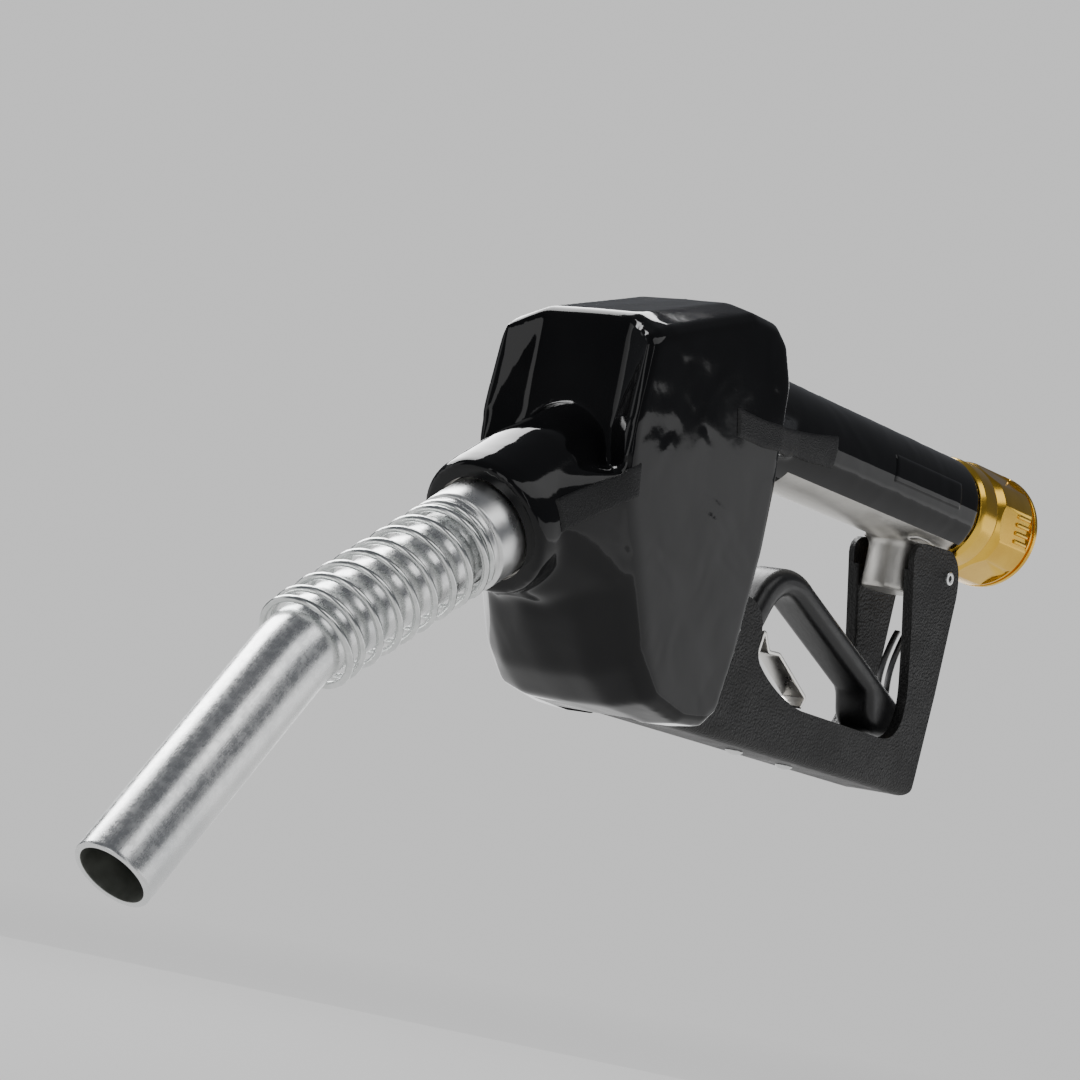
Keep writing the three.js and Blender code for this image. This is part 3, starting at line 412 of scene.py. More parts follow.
def makeCasting():
    material, tree, shader = finish("satinCasting", Metallic=0.95)
    here = places(tree)
    sand = grain(tree, here, 700, 4, 0.65)
    cloud = grain(tree, here, 70, 5, 0.6)
    link(tree, shader, Base_Color=tint(tree, cloud, (0.56, 0.545, 0.51), (0.72, 0.705, 0.67)),
         Roughness=spread(tree, cloud, 0.34, 0.48), Normal=relief(tree, sand, 0.06, 0.6))
    return material


def makeRubber():
    material, tree, shader = finish("blackRubber", Specular_IOR_Level=0.3)
    cloud = grain(tree, places(tree), 220, 5)
    link(tree, shader, Base_Color=tint(tree, cloud, (0.012, 0.012, 0.012), (0.024, 0.023, 0.022)),
         Roughness=spread(tree, cloud, 0.6, 0.8), Normal=relief(tree, cloud, 0.05, 0.5))
    return material


def makeMachined(name, dark, light, rough):
    material, tree, shader = finish(name, Metallic=1.0)
    here = places(tree)
    cloud = grain(tree, here, 130, 4, 0.6)
    fine = grain(tree, places(tree, (1, 1, 9)), 900, 3)
    link(tree, shader, Base_Color=tint(tree, cloud, dark, light), Roughness=spread(tree, cloud, *rough),
         Normal=relief(tree, fine, 0.015, 0.5))
    return material


blackVinyl = makeBlackVinyl()
grainedVinyl = makeGrainedVinyl()
boreSteel = makeBoreSteel()
finishes = {
    "cast_aluminium": makeCasting(),
    "black_vinyl": blackVinyl,
    "black_coat": makePowderCoat(),
    "black_satin": makeSatinBlack(),
    "polished_metal": makePolished(),
    "zinc": makeZinc(),
    "spring_steel": makeWire(),
    "gold_anodised": makeGold(),
    "rubber": makeRubber(),
    "brass": makeMachined("machinedBrass", (0.72, 0.5, 0.2), (0.86, 0.64, 0.3), (0.24, 0.4)),
    "nickel": makeMachined("brightNickel", (0.8, 0.78, 0.74), (0.93, 0.91, 0.87), (0.24, 0.34)),
    "dark_steel": makeMachined("darkSteel", (0.2, 0.2, 0.205), (0.34, 0.335, 0.33), (0.26, 0.38)),
}

for obj in nodes.values():  # every carried-over part gets its finish by the name of its slot
    slotName = obj.data.materials[0].name.split(".")[0]
    if slotName in finishes:
        obj.data.materials[0] = finishes[slotName]
    obj.data.polygons.foreach_set("use_smooth", [True] * len(obj.data.polygons))
    obj.data.set_sharp_from_angle(angle=math.radians(32))


def settle(obj, slotName, body="nozzle", replaces=(), material=None):
    obj.data.materials.clear()
    obj.data.materials.append(material or finishes[slotName])
    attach(obj, body)
    if replaces:
        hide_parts(*replaces)
    return obj


print("finishes ready")


neck = {"mouth": (290.9, 0, -61.4), "tilt": 34.8}
mouth = Vector(neck["mouth"])
neckOut = Vector((math.cos(math.radians(neck["tilt"])), 0, -math.sin(math.radians(neck["tilt"]))))
neckUp = Vector((-neckOut.z, 0, neckOut.x))
left = Vector((0, 1, 0))


def inNeck(along, across=0, up=0):
    return mouth + neckOut * along + left * across + neckUp * up


camera = {"target": (165, 0, -20), "azimuth": 52.8, "elevation": -6.0, "roll": 11.9, "distance": 1136.2,
          "right": 63.4, "up": 17.5, "lens": 116.67}


def makeCamera(c):
    az, el, roll = (math.radians(c[k]) for k in ("azimuth", "elevation", "roll"))
    back = Vector((math.sin(az) * math.cos(el), math.cos(az) * math.cos(el), math.sin(el)))
    right = (-back).cross(Vector((0, 0, 1))).normalized()
    up = right.cross(-back)
    right, up = right * math.cos(roll) + up * math.sin(roll), up * math.cos(roll) - right * math.sin(roll)
    place = Vector(c["target"]) + back * c["distance"] - right * c["right"] - up * c["up"]
    data = bpy.data.cameras.new("camera")
    data.lens = c["lens"]
    data.sensor_width = 36
    data.clip_start = 0.01
    obj = bpy.data.objects.new("camera", data)
    bpy.context.scene.collection.objects.link(obj)
    turn = Matrix((right, up, back)).transposed().to_4x4()
    obj.matrix_world = Matrix.Translation(place * mm) @ turn
    bpy.context.scene.camera = obj


makeCamera(camera)

softboxes = {
    "backTop": {"at": (0.02, -0.85, 0.72), "aim": (0.28, 0, -0.05), "size": (1.3, 0.8), "glow": 9.0},
    "lowLeft": {"at": (-0.98, 1.3, -0.24), "aim": (0.2, 0, -0.03), "size": (3.3, 1.0), "glow": 1.05},
    "rightWall": {"at": (0.95, -1.15, -0.05), "aim": (0.25, 0, -0.05), "size": (0.7, 0.8), "glow": 0.8},
    "farWall": {"at": (-0.9, -0.85, -0.1), "aim": (0.2, 0, -0.05), "size": (1.6, 0.9), "glow": 1.5},
    "highFront": {"at": (0.3, 0.85, 0.95), "aim": (0.3, 0, -0.08), "size": (1.5, 0.5), "glow": 1.7},
    "ahead": {"at": (1.75, 0.14, 0.1), "aim": (0.26, 0, -0.02), "size": (0.55, 1.0), "glow": 1.7},
    "frontStrip": {"at": (1.1, 1.15, 0.25), "aim": (0.28, 0, -0.05), "size": (0.12, 0.8), "glow": 2.0},
}


def makeSoftbox(name, s):
    data = bpy.data.lights.new(name, "AREA")
    data.shape = "RECTANGLE"
    data.size, data.size_y = s["size"]
    data.energy = s["glow"] * math.pi * s["size"][0] * s["size"][1]
    obj = bpy.data.objects.new(name, data)
    obj.location = s["at"]
    obj.rotation_euler = (Vector(s["at"]) - Vector(s["aim"])).to_track_quat("Z", "Y").to_euler()
    obj.visible_camera = False
    bpy.context.scene.collection.objects.link(obj)


for name, settings in softboxes.items():
    makeSoftbox(name, settings)

room = {"pale": 0.78, "dim": 0.14, "floorZ": -0.26, "floorRadius": 3.2, "floorGlow": 0.68}


def makeRoom(r):
    world = bpy.data.worlds.new("room")
    world.use_nodes = True
    bpy.context.scene.world = world
    tree = world.node_tree
    pale = tree.nodes["Background"]
    pale.inputs["Color"].default_value = (1, 1, 1, 1)
    pale.inputs["Strength"].default_value = r["pale"]
    dim = node(tree, "ShaderNodeBackground", {"Color": (0.9, 0.93, 1, 1), "Strength": r["dim"]})
    seen = node(tree, "ShaderNodeLightPath").outputs["Is Camera Ray"]
    mixed = node(tree, "ShaderNodeMixShader", {0: seen, 1: dim.outputs[0], 2: pale.outputs[0]})
    tree.links.new(mixed.outputs[0], tree.nodes["World Output"].inputs["Surface"])

    count = 96
    reach = r["floorRadius"] * 1000
    points = [(0, 0, 0)] + [(reach * math.cos(2 * math.pi * k / count),
                             reach * math.sin(2 * math.pi * k / count), 0) for k in range(count)]
    floor = meshPiece("floor", points, [(0, 1 + k, 1 + (k + 1) % count) for k in range(count)])
    floor.location.z = r["floorZ"]
    material, tree, shader = finish("paleFloor", Roughness=0.9, Specular_IOR_Level=0.1)
    shader.inputs["Base Color"].default_value = (0.08, 0.08, 0.08, 1)
    shader.inputs["Emission Color"].default_value = (1, 1, 1, 1)
    shader.inputs["Emission Strength"].default_value = r["floorGlow"]
    ball = node(tree, "ShaderNodeTexGradient", {"Vector": places(tree, (1 / r["floorRadius"],) * 3)},
                gradient_type="SPHERICAL").outputs["Fac"]
    shown = spread(tree, ball, 0.0, 1.0, 0.0, 0.7)
    clear = node(tree, "ShaderNodeBsdfTransparent")
    faded = node(tree, "ShaderNodeMixShader", {0: shown, 1: clear.outputs[0], 2: shader.outputs[0]})
    tree.links.new(faded.outputs[0], tree.nodes["Material Output"].inputs["Surface"])
    floor.data.materials.append(material)


makeRoom(room)
print("camera and room ready")


cover = {
    "halfWidth": 29.5, "voxel": 1.0, "softening": 4, "chinMelt": 40, "wall": 2.0, "sleeveBore": 17.3,
    "rearX": 41.1, "slotHalfWidth": 14.3, "slotFrontX": 158, "wave": 0.17, "ripple": 0.03,
}
# the head's outline at four distances from the middle: (x, z) from the valley over the top and round
headSections = {
    0.0: [(260.5, -40), (259.8, -20), (260.9, 12.2), (259.4, 14.3), (256.4, 15.4), (213, 30), (201, 29.6), (193.4, 24),
          (187.6, 10.6), (184.5, -24), (184.5, -42), (187.6, -77), (191.3, -97), (197, -103), (211, -104.2),
          (233, -103), (246.4, -96), (263, -80.6), (272, -70)],
    16.5: [(260.6, -40), (259.9, -20), (261, 12), (259.4, 14.2), (256.4, 15.3), (214, 29.6), (200.5, 28.8), (193.4, 23.6),
           (187.4, 10.6), (184.5, -24), (184.5, -42), (187.6, -77), (191.3, -97), (197, -102.8), (211, -104),
           (233, -102.6), (246, -95.4), (258.4, -80), (265.5, -67)],
    27.0: [(264, -42), (266, -20), (265, 6.2), (261.4, 9.2), (256, 11.6), (214, 26.8), (200.6, 26.8),
           (194, 22.4), (187.4, 10.2), (184.5, -24), (184.5, -42), (187.8, -77), (191.6, -96.6), (197.6, -101.6),
           (211, -102.8), (231, -99.6), (241.5, -90), (250.5, -74), (256.5, -62)],
    29.5: [(262, -42), (265.2, -20), (263.4, 3.6), (259.6, 7), (254, 9.6), (214, 24), (201.4, 24.2),
           (195.6, 20.6), (189.4, 9.4), (186.6, -24), (186.6, -42), (189.8, -76), (193.4, -94.8), (198.8, -99.2),
           (211, -100.4), (227, -97), (236.5, -87.5), (244.5, -72.6), (251, -60)],
}


def headBlock(name, shrink=0.0):
    stations = sorted([-y for y in headSections if y] + list(headSections))
    count = len(headSections[0.0])
    centre = Vector((222, -38))
    points = []
    for y in stations:
        for x, z in headSections[abs(y)]:
            p = Vector((x, z))
            p = p - (p - centre).normalized() * shrink * 1.15
            points.append((p.x, y * (1 - shrink / 29.5), p.y))
    faces = []
    for s in range(len(stations) - 1):
        for k in range(count):
            a, b = s * count + k, s * count + (k + 1) % count
            faces.append((a, b, b + count, a + count))
    last = (len(stations) - 1) * count
    faces += [tuple(range(count)), tuple(range(last + count - 1, last - 1, -1))]
    return meshPiece(name, points, faces)


def neckShoulder():
    ring = [inNeck(-9, 21.3 * math.cos(t), 21.3 * math.sin(t))
            for t in (2 * math.pi * k / 24 for k in range(24))]
    sides = [(x, y * s, z) for s in (1, -1) for x, y, z in (
        (279, 23, -58), (266, 27.8, -44), (257, 29.4, -34), (243, 29.4, -58), (265, 26, -61), (249, 28.4, -70),
        (262, 20, -71), (273.5, 8, -76), (263, 9, -77.6))]
    return hull("neckShoulder", ring + sides + [(240, 0, -45)])


def buildCover(c):
    neckSkin = turned("neckSkin", [(0, -64), (20.5, -64), (20.5, -44), (22.2, -27), (22.3, -6), (21.9, -1.6),
                                   (20.9, 0), (0, 0)], mouth, neckOut, 64)
    sleeve = turned("sleeve", [(0, c["rearX"]), (19.0, c["rearX"]), (19.0, 205), (0, 205)],
                    (0, 0, 0), (1, 0, 0), 64)
    webs = [hull("web", [(193, 28.2 * s, -13), (193, 28.2 * s, 0), (186, 10 * s, 4), (186, 10 * s, -14),
                         (163, 18.4 * s, -8), (163, 18.4 * s, 3), (163, 12 * s, 0)]) for s in (1, -1)]
    body = joined("scuffCover", [headBlock("head"), neckShoulder(), neckSkin, sleeve, *webs])
    moulded(body, c["voxel"], c["softening"])
    mesh = body.data
    chin = body.vertex_groups.new(name="chin")
    for v in mesh.vertices:  # the front below the neck melts into it more than the crisp top does
        x, z = v.co.x / mm, v.co.z / mm
        weight = (min(1, max(0, (x - 226) / 14)) * min(1, max(0, (-30 - z) / 12))
                  * min(1, max(0, (284 - x) / 8)))
        if weight > 0:
            chin.add([v.index], weight, "REPLACE")
    melt = body.modifiers.new("melt", "SMOOTH")
    melt.vertex_group = "chin"
    melt.factor = 0.5
    melt.iterations = c["chinMelt"]
    applyModifiers(body)
    body.vertex_groups.clear()
    mesh = body.data
    normals = [v.normal.copy() for v in mesh.vertices]
    for v, n in zip(mesh.vertices, normals):  # the slack, slightly rippled skin of a dipped cover
        p = v.co / mm
        onHead = min(1, max(0, (p.x - 186) / 14)) * min(1, max(0, (272 - p.x) / 16))
        lift = c["wave"] * noise.noise(p / 21) + c["ripple"] * noise.noise(p / 8 + Vector((5, 0, 0)))
        v.co += n * lift * mm * onHead
    mesh.update()
    return body


body = buildCover(cover)
skinTree = BVHTree.FromObject(body, bpy.context.evaluated_depsgraph_get())


def strap(name, corners, alongSteps, acrossSteps, proud):
    # a raised strip laid on the skin; corners give its two long edges as matching lists of points
    lower, upper = corners
    rows, points, faces = [], [], []

    def spot(edge, t):
        pos = t * (len(edge) - 1)
        i = min(int(pos), len(edge) - 2)
        return Vector(edge[i]).lerp(Vector(edge[i + 1]), pos - i)

    for i in range(alongSteps + 1):
        row = []
        for j in range(acrossSteps + 1):
            guess = spot(lower, i / alongSteps).lerp(spot(upper, i / alongSteps), j / acrossSteps)
            hit, normal, _, _ = skinTree.find_nearest(guess * mm)
            edge = min(i, alongSteps - i, j, acrossSteps - j)
            rise = proud * (-0.6 if edge == 0 else 0.72 if edge == 1 else 1.0)
            row.append(len(points))
            points.append(hit / mm + normal * rise)
        rows.append(row)
    for a, b in zip(rows, rows[1:]):
        faces += [(a[j], a[j + 1], b[j + 1], b[j]) for j in range(acrossSteps)]
    depth = len(points)  # a back to the strip, just inside the skin
    for row in rows:
        for v in row:
            hit, normal, _, _ = skinTree.find_nearest(Vector(points[v]) * mm)
            points.append(hit / mm - normal * 0.9)
    for a, b in zip(rows, rows[1:]):
        faces += [(a[j] + depth, b[j] + depth, b[j + 1] + depth, a[j + 1] + depth)
                  for j in range(acrossSteps)]
    rim = rows[0][:-1] + [r[-1] for r in rows][:-1] + rows[-1][:0:-1] + [r[0] for r in rows][:0:-1]
    for v, w in zip(rim, rim[1:] + rim[:1]):
        faces.append((v, w, w + depth, v + depth))
    return smoothFaces(meshPiece(name, points, faces), 70)


straps = {
    "frontBand": {"lower": [(281.5, 22, -58.4), (270, 26.5, -50), (257.2, 30, -41.2)],
                  "upper": [(286.6, 19.4, -49.8), (272, 26, -39), (259.4, 30, -30.8)], "steps": (44, 16), "proud": 0.75},
    "rearBand": {"lower": [(213, 30, -12.4), (198, 30, -12.6), (186, 28, -11.4), (172, 20, -9.6), (154, 18, -8.4),
                           (138, 18, -7)],
                 "upper": [(216, 30, -3), (200, 30, -3.4), (188, 28, -2.6), (173, 21, -0.4), (155, 19, 2),
                           (139, 18.5, 5)], "steps": (96, 12), "proud": 0.75},
    "labelPad": {"lower": [(54, 19, -2.5), (101, 19, -2.5)], "upper": [(54, 17.5, 8), (101, 17.5, 8)],
                 "steps": (50, 12), "proud": 0.4},
}
for name, s in straps.items():
    for side, tag in ((1, "Left"), (-1, "Right")):
        edges = [[(x, y * side, z) for x, y, z in s[k]] for k in ("lower", "upper")]
        piece = strap(name + tag, edges, *s["steps"], s["proud"])
        settle(piece, "black_vinyl", material=blackVinyl if name == "labelPad" else grainedVinyl)


def hollowCover(body, c):
    bore = turned("bore", [(0, -66), (19.3, -66), (19.3, -2.2), (0, -2.2)], mouth, neckOut, 64)
    lip = turned("lip", [(0, -10), (16.7, -10), (16.7, 10), (0, 10)], mouth, neckOut, 64)
    tube = turned("tube", [(0, c["rearX"] - 2), (c["sleeveBore"], c["rearX"] - 2), (c["sleeveBore"], 206), (0, 206)],
                  (0, 0, 0), (1, 0, 0), 64)
    half = c["slotHalfWidth"]
    slots = [block("slot", (c["rearX"] - 5, -half, -120), (c["slotFrontX"], half, -8)),
             block("slot", (170, -half, -120), (205, half, -18)),
             block("slot", (170, -half, -120), (216.6, half, -98.6))]
    for tool in [headBlock("inside", c["wall"]), bore, lip, tube, *slots]:
        carve(body, tool)
    return smoothFaces(body, 50)


settle(hollowCover(body, cover), "black_vinyl", replaces=["scuff_cover"])
print("cover ready")


casting = {"radius": 17.0, "rearX": 41.1, "bossX": 59.5, "bossRadius": 9.75, "bossBottom": -34.0, "bore": 11.5}


def buildCasting(c):
    flare = [(c["bossRadius"] + 2.6 * (1 - math.cos(t)), -16.2 - 2.8 * (1 - math.sin(t)))
             for t in (math.pi / 2 * k / 8 for k in range(9))]
    parts = [
        turned("part", [(0, c["rearX"]), (c["radius"], c["rearX"]), (c["radius"], 194), (0, 194)], axis=(1, 0, 0)),
        turned("part", roundCorners([(0, c["bossBottom"]), (c["bossRadius"], c["bossBottom"]), *flare[:1]], 1.2)
               + flare[1:] + [(0, -13)], (c["bossX"], 0, 0), sides=72),
        turned("part", [(0, -52), (15.5, -52), (15.5, 14), (0, 14)], (208, 0, 0)),
        turned("part", [(0, -8), (14.2, -8), (14.2, 8), (0, 8)], (238, 0, 0)),
        turned("part", [(0, -62), (9.7, -62), (9.7, 0), (0, 0)], (238, 0, 0), sides=48),
        turned("part", [(0, -66), (19, -66), (19, -2.5), (0, -2.5)], mouth, neckOut),
        block("part", (208, -8.2, -46), (238, 8.2, -20)),
        block("part", (38.5, -9.2, -29.8), (59.5, 9.2, -12)),
    ]
    parts += [block("part", (201, y0, -95), (215, y1, -44)) for y0, y1 in ((9, 10.8), (-10.8, -9))]
    body = moulded(joined("nozzleCasting", parts), 0.9, 4)
    bores = [
        turned("bore", [(0, 60), (c["bore"], 60), (c["bore"], 208), (0, 208)], axis=(1, 0, 0)),
        turned("bore", [(0, 38), (14, 38), (14, 64.1), (0, 64.1)], axis=(1, 0, 0)),
        turned("bore", [(0, -13), (13, -13), (13, 16), (0, 16)], (208, 0, 0)),
        turned("bore", [(0, -32), (11.5, -32), (11.5, -17), (7.5, -17), (7.5, -12), (0, -12)], (208, 0, 0)),
        turned("bore", [(0, -64), (12.3, -64), (12.3, -22), (0, -22)], mouth, neckOut),
        turned("bore", [(0, -23.3), (16.2, -23.3), (16.2, 1), (0, 1)], mouth, neckOut),
        turned("bore", [(0, -53), (5.5, -53), (5.5, -41), (3, -41), (3, -31), (0, -31)], (208, 0, 0), sides=32),
        turned("bore", [(0, 0), (9.5, 0), (9.5, 9), (0, 9)], (238, 0, 0)),
        turned("bore", [(0, -63), (6.9, -63), (6.9, -49.7), (5.7, -49.7), (5.7, -4), (2, -4), (2, 1), (0, 1)],
               (238, 0, 0), sides=32),
    ]
    for tool in bores:
        carve(body, tool)
    return smoothFaces(body, 45)


settle(buildCasting(casting), "cast_aluminium", replaces=["nozzle_body"])
print("casting ready")


swivel = {"hexAcross": 39.4, "ribs": 4, "ribPitch": 3.0}


def buildSwivel(s):
    rear = turned("swivelRear", roundCorners([
        (15.5, 0), (19.8, 0), (20.7, 0.9), (20.7, 2.7), (19.5, 2.8), (19.5, 4.3), (20.7, 4.4), (20.7, 24.4),
        (18.9, 28), (13.5, 28), (13.5, 13.2), (15.5, 13)], 0.3, 3, closed=True), axis=(1, 0, 0), sides=144)
    hexagon = [(s["hexAcross"] / 2 / math.cos(math.pi / 6) * math.cos(math.pi / 3 * k + math.pi / 6),
                s["hexAcross"] / 2 / math.cos(math.pi / 6) * math.sin(math.pi / 3 * k + math.pi / 6))
               for k in range(6)]
    prism = meshPiece("flats", [(x, a, b) for x in (5.4, 29) for a, b in hexagon],
                      [tuple(range(6)), tuple(range(11, 5, -1))]
                      + [(k, (k + 1) % 6, 6 + (k + 1) % 6, 6 + k) for k in range(6)])
    disc = turned("disc", [(0, -1), (22, -1), (22, 5.4), (0, 5.4)], axis=(1, 0, 0), sides=64)
    carve(prism, disc, "UNION")
    carve(rear, prism, "INTERSECT")
    bevelEdges(rear, 0.35, 2, 24)
    ribs = []
    for face in (0, 2, 4):  # ribs on every other flat
        spin = Matrix.Rotation(math.pi / 3 * face + math.pi / 6, 4, "X")
        for i in range(s["ribs"]):
            y = (i - (s["ribs"] - 1) / 2) * s["ribPitch"]
            flat = s["hexAcross"] / 2
            rib = block("rib", (6.2, y - 0.8, flat - 1), (15, y + 0.8, flat + 0.7))
            bevelEdges(rib, 0.45, 3, 40, False)
            rib.data.transform(spin)
            ribs.append(rib)
    whole = joined("swivelRear", [rear, *ribs])
    front = turned("swivelFront", roundCorners([
        (10, 15.3), (13, 15.3), (13, 28.3), (18.8, 28.3), (19.6, 29.1), (19.6, 37.6), (18.4, 39.5), (13.7, 39.6),
        (13.7, 62.6), (10, 62.6)], 0.5, 4, closed=True), axis=(1, 0, 0), sides=144)
    return smoothFaces(whole, 28), front


swivelRear, swivelFront = buildSwivel(swivel)
settle(swivelRear, "gold_anodised", "swivel", ["swivel_rear"])
settle(swivelFront, "gold_anodised", "nozzle", ["swivel_front"])
print("swivel ready")


spout = {"radius": 12.0, "bore": 10.1, "neckLength": 83.2, "tipLength": 91.2, "bend": 18.1, "bendRadius": 60.0,
         "inside": 21.5, "spring": {"wire": 1.1, "radius": 14.7, "from": 14.3, "to": 82.3}}


def alongSpout(s):
    # centre, out and up at a length along the spout, measured from the mouth
    angle = math.radians(spout["bend"])
    radius = spout["bendRadius"]
    start = spout["neckLength"] - radius * math.tan(angle / 2)
    turn = min(max((s - start) / radius, 0), angle)
    centre = inNeck(min(s, start))
    centre += neckOut * radius * math.sin(turn) - neckUp * radius * (1 - math.cos(turn))
    out = neckOut * math.cos(turn) - neckUp * math.sin(turn)
    up = neckUp * math.cos(turn) + neckOut * math.sin(turn)
    return centre + out * max(s - start - angle * radius, 0), out, up


def spoutLength():
    angle = math.radians(spout["bend"])
    reach = spout["bendRadius"] * math.tan(angle / 2)
    return spout["neckLength"] + spout["tipLength"] - 2 * reach + spout["bendRadius"] * angle


def buildSpout(s):
    end = spoutLength()
    stations = [-s["inside"], 0, 40, 72] + [73.6 + k * 1.6 for k in range(13)] + [100, 130, 160, end - 1.2]
    outer = [(s["radius"], a) for a in stations]
    lip = [(s["radius"] - 0.45 * (1 - math.cos(t)), end - 0.45 + 0.45 * math.sin(t))
           for t in (math.pi / 2 * k / 4 for k in range(1, 5))]
    lip += [(s["bore"] + 0.35 * (1 - math.sin(t)), end - 0.35 * (1 - math.cos(t)))
            for t in (math.pi / 2 * k / 4 for k in range(0, 5))]
    inner = [(s["bore"], a) for a in reversed(stations)]
    rings = []
    for radius, a in outer + lip + inner:
        centre, out, up = alongSpout(a)
        rings.append((centre, left, up, radius, a))
    tube = ringSkin("spoutTube", rings, 96, True)
    return tube


tube = buildSpout(spout)
settle(tube, "polished_metal", replaces=["spout_tube"])
tube.data.materials.append(boreSteel)
for face in tube.data.polygons:  # the bore is dull, the outside bright
    centre = face.center / mm
    nearest, out, up = min((alongSpout(a * 2.0) for a in range(-11, 90)),
                           key=lambda q: (q[0] - centre).length)
    offset = centre - nearest
    offset -= out * offset.dot(out)
    if offset.length < 10.25:
        face.material_index = 1

settle(turned("spoutCollar", roundCorners([
    (12.25, -23), (15.9, -23), (15.9, 10.4), (15.4, 11.1), (14.7, 11.3), (14.7, 13), (12.25, 13)], 0.35, 4,
    closed=True), mouth, neckOut, 96), "zinc", replaces=["spout_collar"])


def buildSpring(s):
    # close turns at both ends and open turns between
    turns, steps = 9.6, 40
    total = int(turns * steps)
    pitch = []
    for i in range(total):
        t = i / steps
        pitch.append(2.5 if t < 1.1 else 3.4 if t > turns - 1.0 else 7.9 + 0.7 * math.sin(t * 2.1))
    for _ in range(30):
        pitch = [(pitch[max(i - 1, 0)] + pitch[i] + pitch[min(i + 1, total - 1)]) / 3 for i in range(total)]
    share = (s["to"] - s["from"]) / sum(pitch)
    height, path = s["from"], []
    for i in range(total + 1):
        turn = 2 * math.pi * i / steps - 0.6
        centre, out, up = alongSpout(height)
        radius = s["radius"] + 0.12 * math.sin(i * 0.013)
        path.append(centre + left * radius * math.cos(turn) + up * radius * math.sin(turn))
        height += pitch[min(i, total - 1)] * share
    rings = []
    for i, p in enumerate(path):
        ahead = (path[min(i + 1, total)] - path[max(i - 1, 0)]).normalized()
        side = (p - alongSpout(s["from"] + i / total * (s["to"] - s["from"]))[0]).normalized()
        side = (side - ahead * side.dot(ahead)).normalized()
        rings.append((p, side, ahead.cross(side), s["wire"], i / steps * 92))
    first, last = rings[0], rings[-1]
    rings.insert(0, (first[0], first[1], first[2], 0, first[4]))
    rings.append((last[0], last[1], last[2], 0, last[4]))
    return ringSkin("anchorSpring", rings, 14, False)


settle(buildSpring(spout["spring"]), "spring_steel", replaces=["anchor_spring"])
print("spout ready")


guard = {"halfWidth": 13.3, "sheet": 2.2, "floorZ": -102.6, "frontX": 216, "fold": 3.4, "lipY": 9.2}


def guardCheek():
    # rear edge upwards, over the arm, down round the window and forward, in x and z
    out = [(39.6, -96), (37, -65), (35.4, -31)]
    out += bezier((35.4, -31), (35.4, -22), (39, -15.6), (46, -15.3), 12)
    out += [(61.6, -16.2)] + bezier((61.6, -16.2), (66, -16.6), (69.2, -18.6), (68.5, -23), 8)
    out += [(60.2, -49.9), (56.4, -64.5)]
    out += bezier((56.4, -64.5), (53.2, -77), (56.5, -85.6), (67.7, -85.6), 14)
    out += [(120, -85.2)] + bezier((120, -85.2), (131, -84.6), (144, -79.4), (150.2, -74.6), 10)
    out += bezier((150.2, -74.6), (154.6, -70.6), (151, -64.4), (154, -60), 8)
    return out + bezier((154, -60), (157, -56.6), (160, -55), (165, -55), 6) + [(216, -55)]


def buildGuard(g):
    arc = math.pi / 2 * g["fold"]
    flat = g["halfWidth"] - g["fold"]

    def unfold(z):
        return flat + arc + (z - g["floorZ"] - g["fold"])

    half = [(46.5, 0), (46.5, flat * 0.6)] + bezier((46.5, flat * 0.6), (46.5, flat), (41, flat + arc * 0.4),
                                                     (40, flat + arc), 8)
    half += [(x, unfold(z)) for x, z in guardCheek()] + [(g["frontX"], 0)]
    pattern = half + [(x, -v) for x, v in reversed(half[1:-1])]
    work = bmesh.new()
    work.faces.new([work.verts.new((x, v, 0)) for x, v in pattern])
    for side in (1, -1):
        for k in range(7):
            cut = side * (flat + arc * k / 6)
            geometry = work.verts[:] + work.edges[:] + work.faces[:]
            bmesh.ops.bisect_plane(work, geom=geometry, plane_co=(0, cut, 0), plane_no=(0, 1, 0), dist=1e-5)
    for v in work.verts:
        side = 1 if v.co.y >= 0 else -1
        d = abs(v.co.y)
        if d <= flat:
            y, z = d, 0
        elif d <= flat + arc:
            turn = (d - flat) / g["fold"]
            y, z = flat + g["fold"] * math.sin(turn), g["fold"] * (1 - math.cos(turn))
        else:
            y, z = g["halfWidth"], g["fold"] + d - flat - arc
        v.co = Vector((v.co.x, side * y, g["floorZ"] + z)) * mm
    bmesh.ops.recalc_face_normals(work, faces=work.faces)
    low = min(work.faces, key=lambda f: f.calc_center_median().z)
    if low.normal.z > 0:
        bmesh.ops.reverse_faces(work, faces=work.faces)
    mesh = bpy.data.meshes.new("leverGuard")
    work.to_mesh(mesh)
    work.free()
    obj = bpy.data.objects.new("leverGuard", mesh)
    bpy.context.scene.collection.objects.link(obj)
    thick = obj.modifiers.new("sheet", "SOLIDIFY")
    thick.thickness = g["sheet"] * mm
    thick.offset = -1
    thick.use_even_offset = True
    applyModifiers(obj)
    return bevelEdges(obj, 0.55, 3, 45)


settle(buildGuard(guard), "black_coat", replaces=["lever_guard"])


def buildLips(g):
    # the window's edge is turned inwards on both cheeks
    edge = [(67.4, -26.6), (60.2, -49.9), (56.4, -64.5)]
    edge += bezier((56.4, -64.5), (53.2, -77), (56.5, -85.6), (67.7, -85.6), 14)
    edge += [(120, -85.2)] + bezier((120, -85.2), (131, -84.6), (144, -79.4), (150.2, -74.6), 10)
    lips = []
    for side in (1, -1):
        inner, outer = sorted((g["lipY"] * side, (g["halfWidth"] - 1.6) * side))
        section = roundCorners([(inner, 0.05), (outer, 0.05), (outer, 2.1), (inner, 2.1)], 0.5, 3, closed=True)
        lips.append(sweptBar("lip", [(x, 0, z) for x, z in edge], section))
    return smoothFaces(joined("guardLips", lips), 45)


settle(buildLips(guard), "black_coat")

